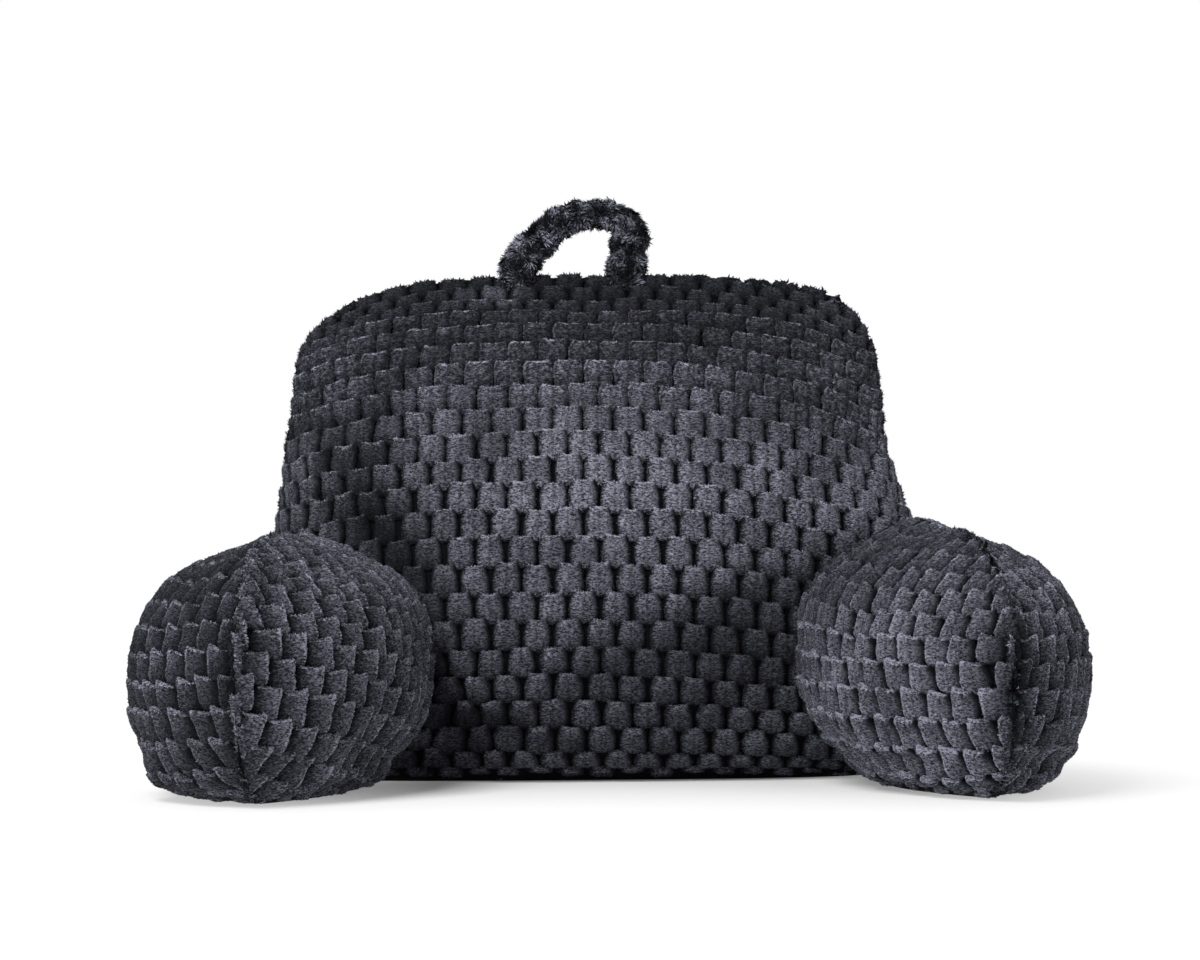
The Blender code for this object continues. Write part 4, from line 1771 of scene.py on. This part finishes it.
def rumple_handle(mesh):
    """Creases the strap, and lays its fur in lighter clumps that swirl over it, with painted shade
    in its creases and painted light on its folds.
    """
    points, normals = points_of(mesh), normals_of(mesh)
    creased = lumps(points, scale=70.0, seed=3) * 0.0026
    creased += lumps(points, scale=160.0, seed=5) * 0.0014
    points += normals * creased[:, None]
    move_points(mesh, points)
    # Lighter clumps at random, with painted light on the folds and painted shade in the creases.
    clumps_and_crease_shade = 0.31 + lumps(points, scale=95.0, seed=21) + 150.0 * creased
    clumps_and_crease_shade = np.maximum(clumps_and_crease_shade, 0.02)
    for label, value in (("tuft_height", 1.0), ("tuft_shade", 0.5), ("brushed", clumps_and_crease_shade),
                         ("aside", 0.12), ("along", 0.0), ("slant", 0.0), ("closed", 0.0),
                         ("seam", 1.0)):
        keep_on(mesh, label, np.broadcast_to(value, len(points)))
    swirl = [lumps(points, scale=95.0, seed=9 + axis) for axis in range(3)]
    keep_on(mesh, "fan", 1.6 * np.stack(swirl, axis=-1))


# ---- operators ---------------------------------------------------------------------------------


class PILLOW_OT_back(bpy.types.Operator):
    """Makes the leaning back cushion: backing, tufts and pile on both panels"""

    bl_idname = "pillow.back"
    bl_label = "Back Cushion"

    def execute(self, context):
        sizes = context.scene.pillow_sizes
        form = back_form()
        settle(form, "back", sizes.filling_give)
        rumple(form, amount=0.004, scale=11.0, seed=2)
        pull_creases(form)
        cushion(form, back_cloths(form, sizes), "back_cushion", BACK_SEWN,
                sizes.seed)
        return {"FINISHED"}


class PILLOW_OT_arms(bpy.types.Operator):
    """Makes both bolster arms, sewn against the back cushion"""

    bl_idname = "pillow.arms"
    bl_label = "Arms"

    def execute(self, context):
        sizes = context.scene.pillow_sizes
        for arm in ARMS:
            form = arm_form(arm)
            settle(form, arm.node, sizes.filling_give)
            rumple(form, amount=0.006, scale=16.0, seed=5 + arm.side)
            fold_foot(form, seed=11 + arm.side)
            cloths = arm_cloths(form, arm, sizes) + [seam_cloth(form, arm, sizes)]
            cushion(form, cloths, arm.node, ARM_SEWN,
                    sizes.seed + 100 * (2 + arm.side))
        return {"FINISHED"}


class PILLOW_OT_handle(bpy.types.Operator):
    """Makes the shaggy carry handle on the top seam"""

    bl_idname = "pillow.handle"
    bl_label = "Carry Handle"

    def execute(self, context):
        sizes = context.scene.pillow_sizes
        mesh = handle_mesh("carry_handle_plush")
        rumple_handle(mesh)
        mesh.materials.append(finishes().tuft)
        strap = link(mesh, "carry_handle_plush")
        pile = grown(
            strap, pile_tree(), "carry_handle_pile", pattern=blade_pattern(),
            pile=finishes().shag, density=420000.0, length=sizes.handle_pile_length,
            thickness=0.0026, rise=0.5, seed=sizes.seed + 61, bake_cells=HANDLE_BAKE_CELLS)
        declare(strap, "carry_handle")
        declare(pile, "carry_handle")
        return {"FINISHED"}


BLACK = (0.0, 0.0, 0.0, 1.0)
WHITE = (1.0, 1.0, 1.0, 1.0)
FLOOR_REACH = 12.0
LAMP_AIM = Vector((0.0, 0.0, 0.2))
FOCAL_LENGTH = 3281.0 / 1200.0      # in widths of the picture
LENS_SHIFT = 85.0 / 1200.0
CAMERA_ROLL = math.radians(0.5)


class PILLOW_OT_stage(bpy.types.Operator):
    """Sets the plain floor, the soft studio light and the camera"""

    bl_idname = "pillow.stage"
    bl_label = "Stage"

    def floor_finish(self, colours, studio):
        """Pale paper that runs out into the white of the studio, so that no horizon shows. It
        glows, more with distance: painted light that lifts the pillow's shadows on it and runs out
        to full white.
        """
        made = bpy.data.materials.new("pale_floor")
        made.use_nodes = True
        surface = made.node_tree.nodes["Principled BSDF"].inputs
        surface["Roughness"].default_value = 0.9
        surface["Specular IOR Level"].default_value = 0.2
        # The glow is painted light, faint beside the pillow and full far from it.
        away = object_place(made.node_tree).length().ranged((0.15, 0.60), (0.10, 1.0))
        feed(surface["Base Color"], blend(away, (*colours.floor, 1.0), BLACK))
        feed(surface["Emission Color"], blend(away, BLACK, WHITE))
        surface["Emission Strength"].default_value = studio.floor_glow
        return made

    def white_studio(self, studio):
        """A white room that is lit behind and above the pillow and dim behind the camera."""
        world = bpy.data.worlds.new("white_studio")
        world.use_nodes = True
        tree = world.node_tree
        background = tree.nodes["Background"].inputs
        background["Color"].default_value = WHITE
        _, rearward, _ = put(tree, "ShaderNodeTexCoord", out="Generated").split()
        rearward = rearward.ranged((-0.3, 0.5), (studio.front_surround, studio.rear_surround))
        seen = put(tree, "ShaderNodeLightPath", out="Is Camera Ray")
        feed(background["Strength"], rearward.at_least(seen))
        return world

    def softbox(self, name, place, size, power):
        """A large square lamp that faces the pillow."""
        lamp = bpy.data.lights.new(name, "AREA")
        lamp.shape = "SQUARE"
        lamp.size = size
        lamp.energy = power
        holder = link(lamp, name)
        holder.location = place
        aim = LAMP_AIM - Vector(place)
        holder.rotation_euler = aim.to_track_quat("-Z", "Y").to_euler()

    def camera(self, studio):
        """A long lens, low in front of the pillow."""
        camera = bpy.data.cameras.new("camera")
        camera.sensor_width = 36.0
        camera.lens = FOCAL_LENGTH * camera.sensor_width
        camera.shift_y = LENS_SHIFT
        camera.clip_end = 60.0
        holder = link(camera, "camera")
        holder.location = (BACK_MIDDLE_X, -studio.camera_distance, studio.camera_height)
        holder.rotation_euler = (math.radians(90.0), CAMERA_ROLL, 0.0)
        return holder

    def execute(self, context):
        scene = context.scene
        studio = scene.pillow_studio
        mesh = bpy.data.meshes.new("floor")
        mesh.from_pydata(
            [(-FLOOR_REACH, -FLOOR_REACH, 0.0), (FLOOR_REACH, -FLOOR_REACH, 0.0),
             (FLOOR_REACH, FLOOR_REACH, 0.0), (-FLOOR_REACH, FLOOR_REACH, 0.0)],
            [], [(0, 1, 2, 3)])
        floor = link(mesh, "floor")
        mesh.materials.append(self.floor_finish(scene.pillow_colours, studio))
        scene.world = self.white_studio(studio)
        self.softbox("key_softbox", (-1.1, -2.0, 2.3), 1.5, studio.key_power)
        self.softbox("fill_softbox", (1.6, -2.4, 0.9), 1.6, studio.fill_power)
        scene.view_settings.view_transform = "Standard"
        scene.camera = self.camera(studio)
        return {"FINISHED"}


class PILLOW_PT_panel(bpy.types.Panel):
    """Sizes, colours and pieces of the reading pillow"""

    bl_label = "Reading Pillow"
    bl_idname = "PILLOW_PT_panel"
    bl_space_type = "VIEW_3D"
    bl_region_type = "UI"
    bl_category = "Pillow"

    def draw(self, context):
        scene = context.scene
        for title, group in (("Sizes", scene.pillow_sizes), ("Colours", scene.pillow_colours),
                             ("Studio", scene.pillow_studio)):
            box = self.layout.box()
            box.label(text=title)
            for name in group.__annotations__:
                box.prop(group, name)
        for operator in OPERATORS:
            self.layout.operator(operator.bl_idname)


OPERATORS = (PILLOW_OT_stage, PILLOW_OT_back, PILLOW_OT_arms, PILLOW_OT_handle)
GROUPS = (
    ("pillow_sizes", PillowSizes),
    ("pillow_colours", PillowColours),
    ("pillow_studio", StudioSettings),
)


def register():
    for name, group in GROUPS:
        bpy.utils.register_class(group)
        setattr(bpy.types.Scene, name, PointerProperty(type=group))
    for operator in OPERATORS:
        bpy.utils.register_class(operator)
    bpy.utils.register_class(PILLOW_PT_panel)


def unregister():
    bpy.utils.unregister_class(PILLOW_PT_panel)
    for operator in reversed(OPERATORS):
        bpy.utils.unregister_class(operator)
    for name, group in reversed(GROUPS):
        delattr(bpy.types.Scene, name)
        bpy.utils.unregister_class(group)


def clear_patterns():
    """Removes the shapes that tufts and pile are copies of."""
    for pattern in (tuft_pattern, blade_pattern):
        bpy.data.objects.remove(pattern())
        pattern.cache_clear()


def main():
    register()
    bpy.ops.pillow.stage()
    bpy.ops.pillow.back()
    bpy.ops.pillow.arms()
    bpy.ops.pillow.handle()
    clear_patterns()


if __name__ == "__main__":
    main()
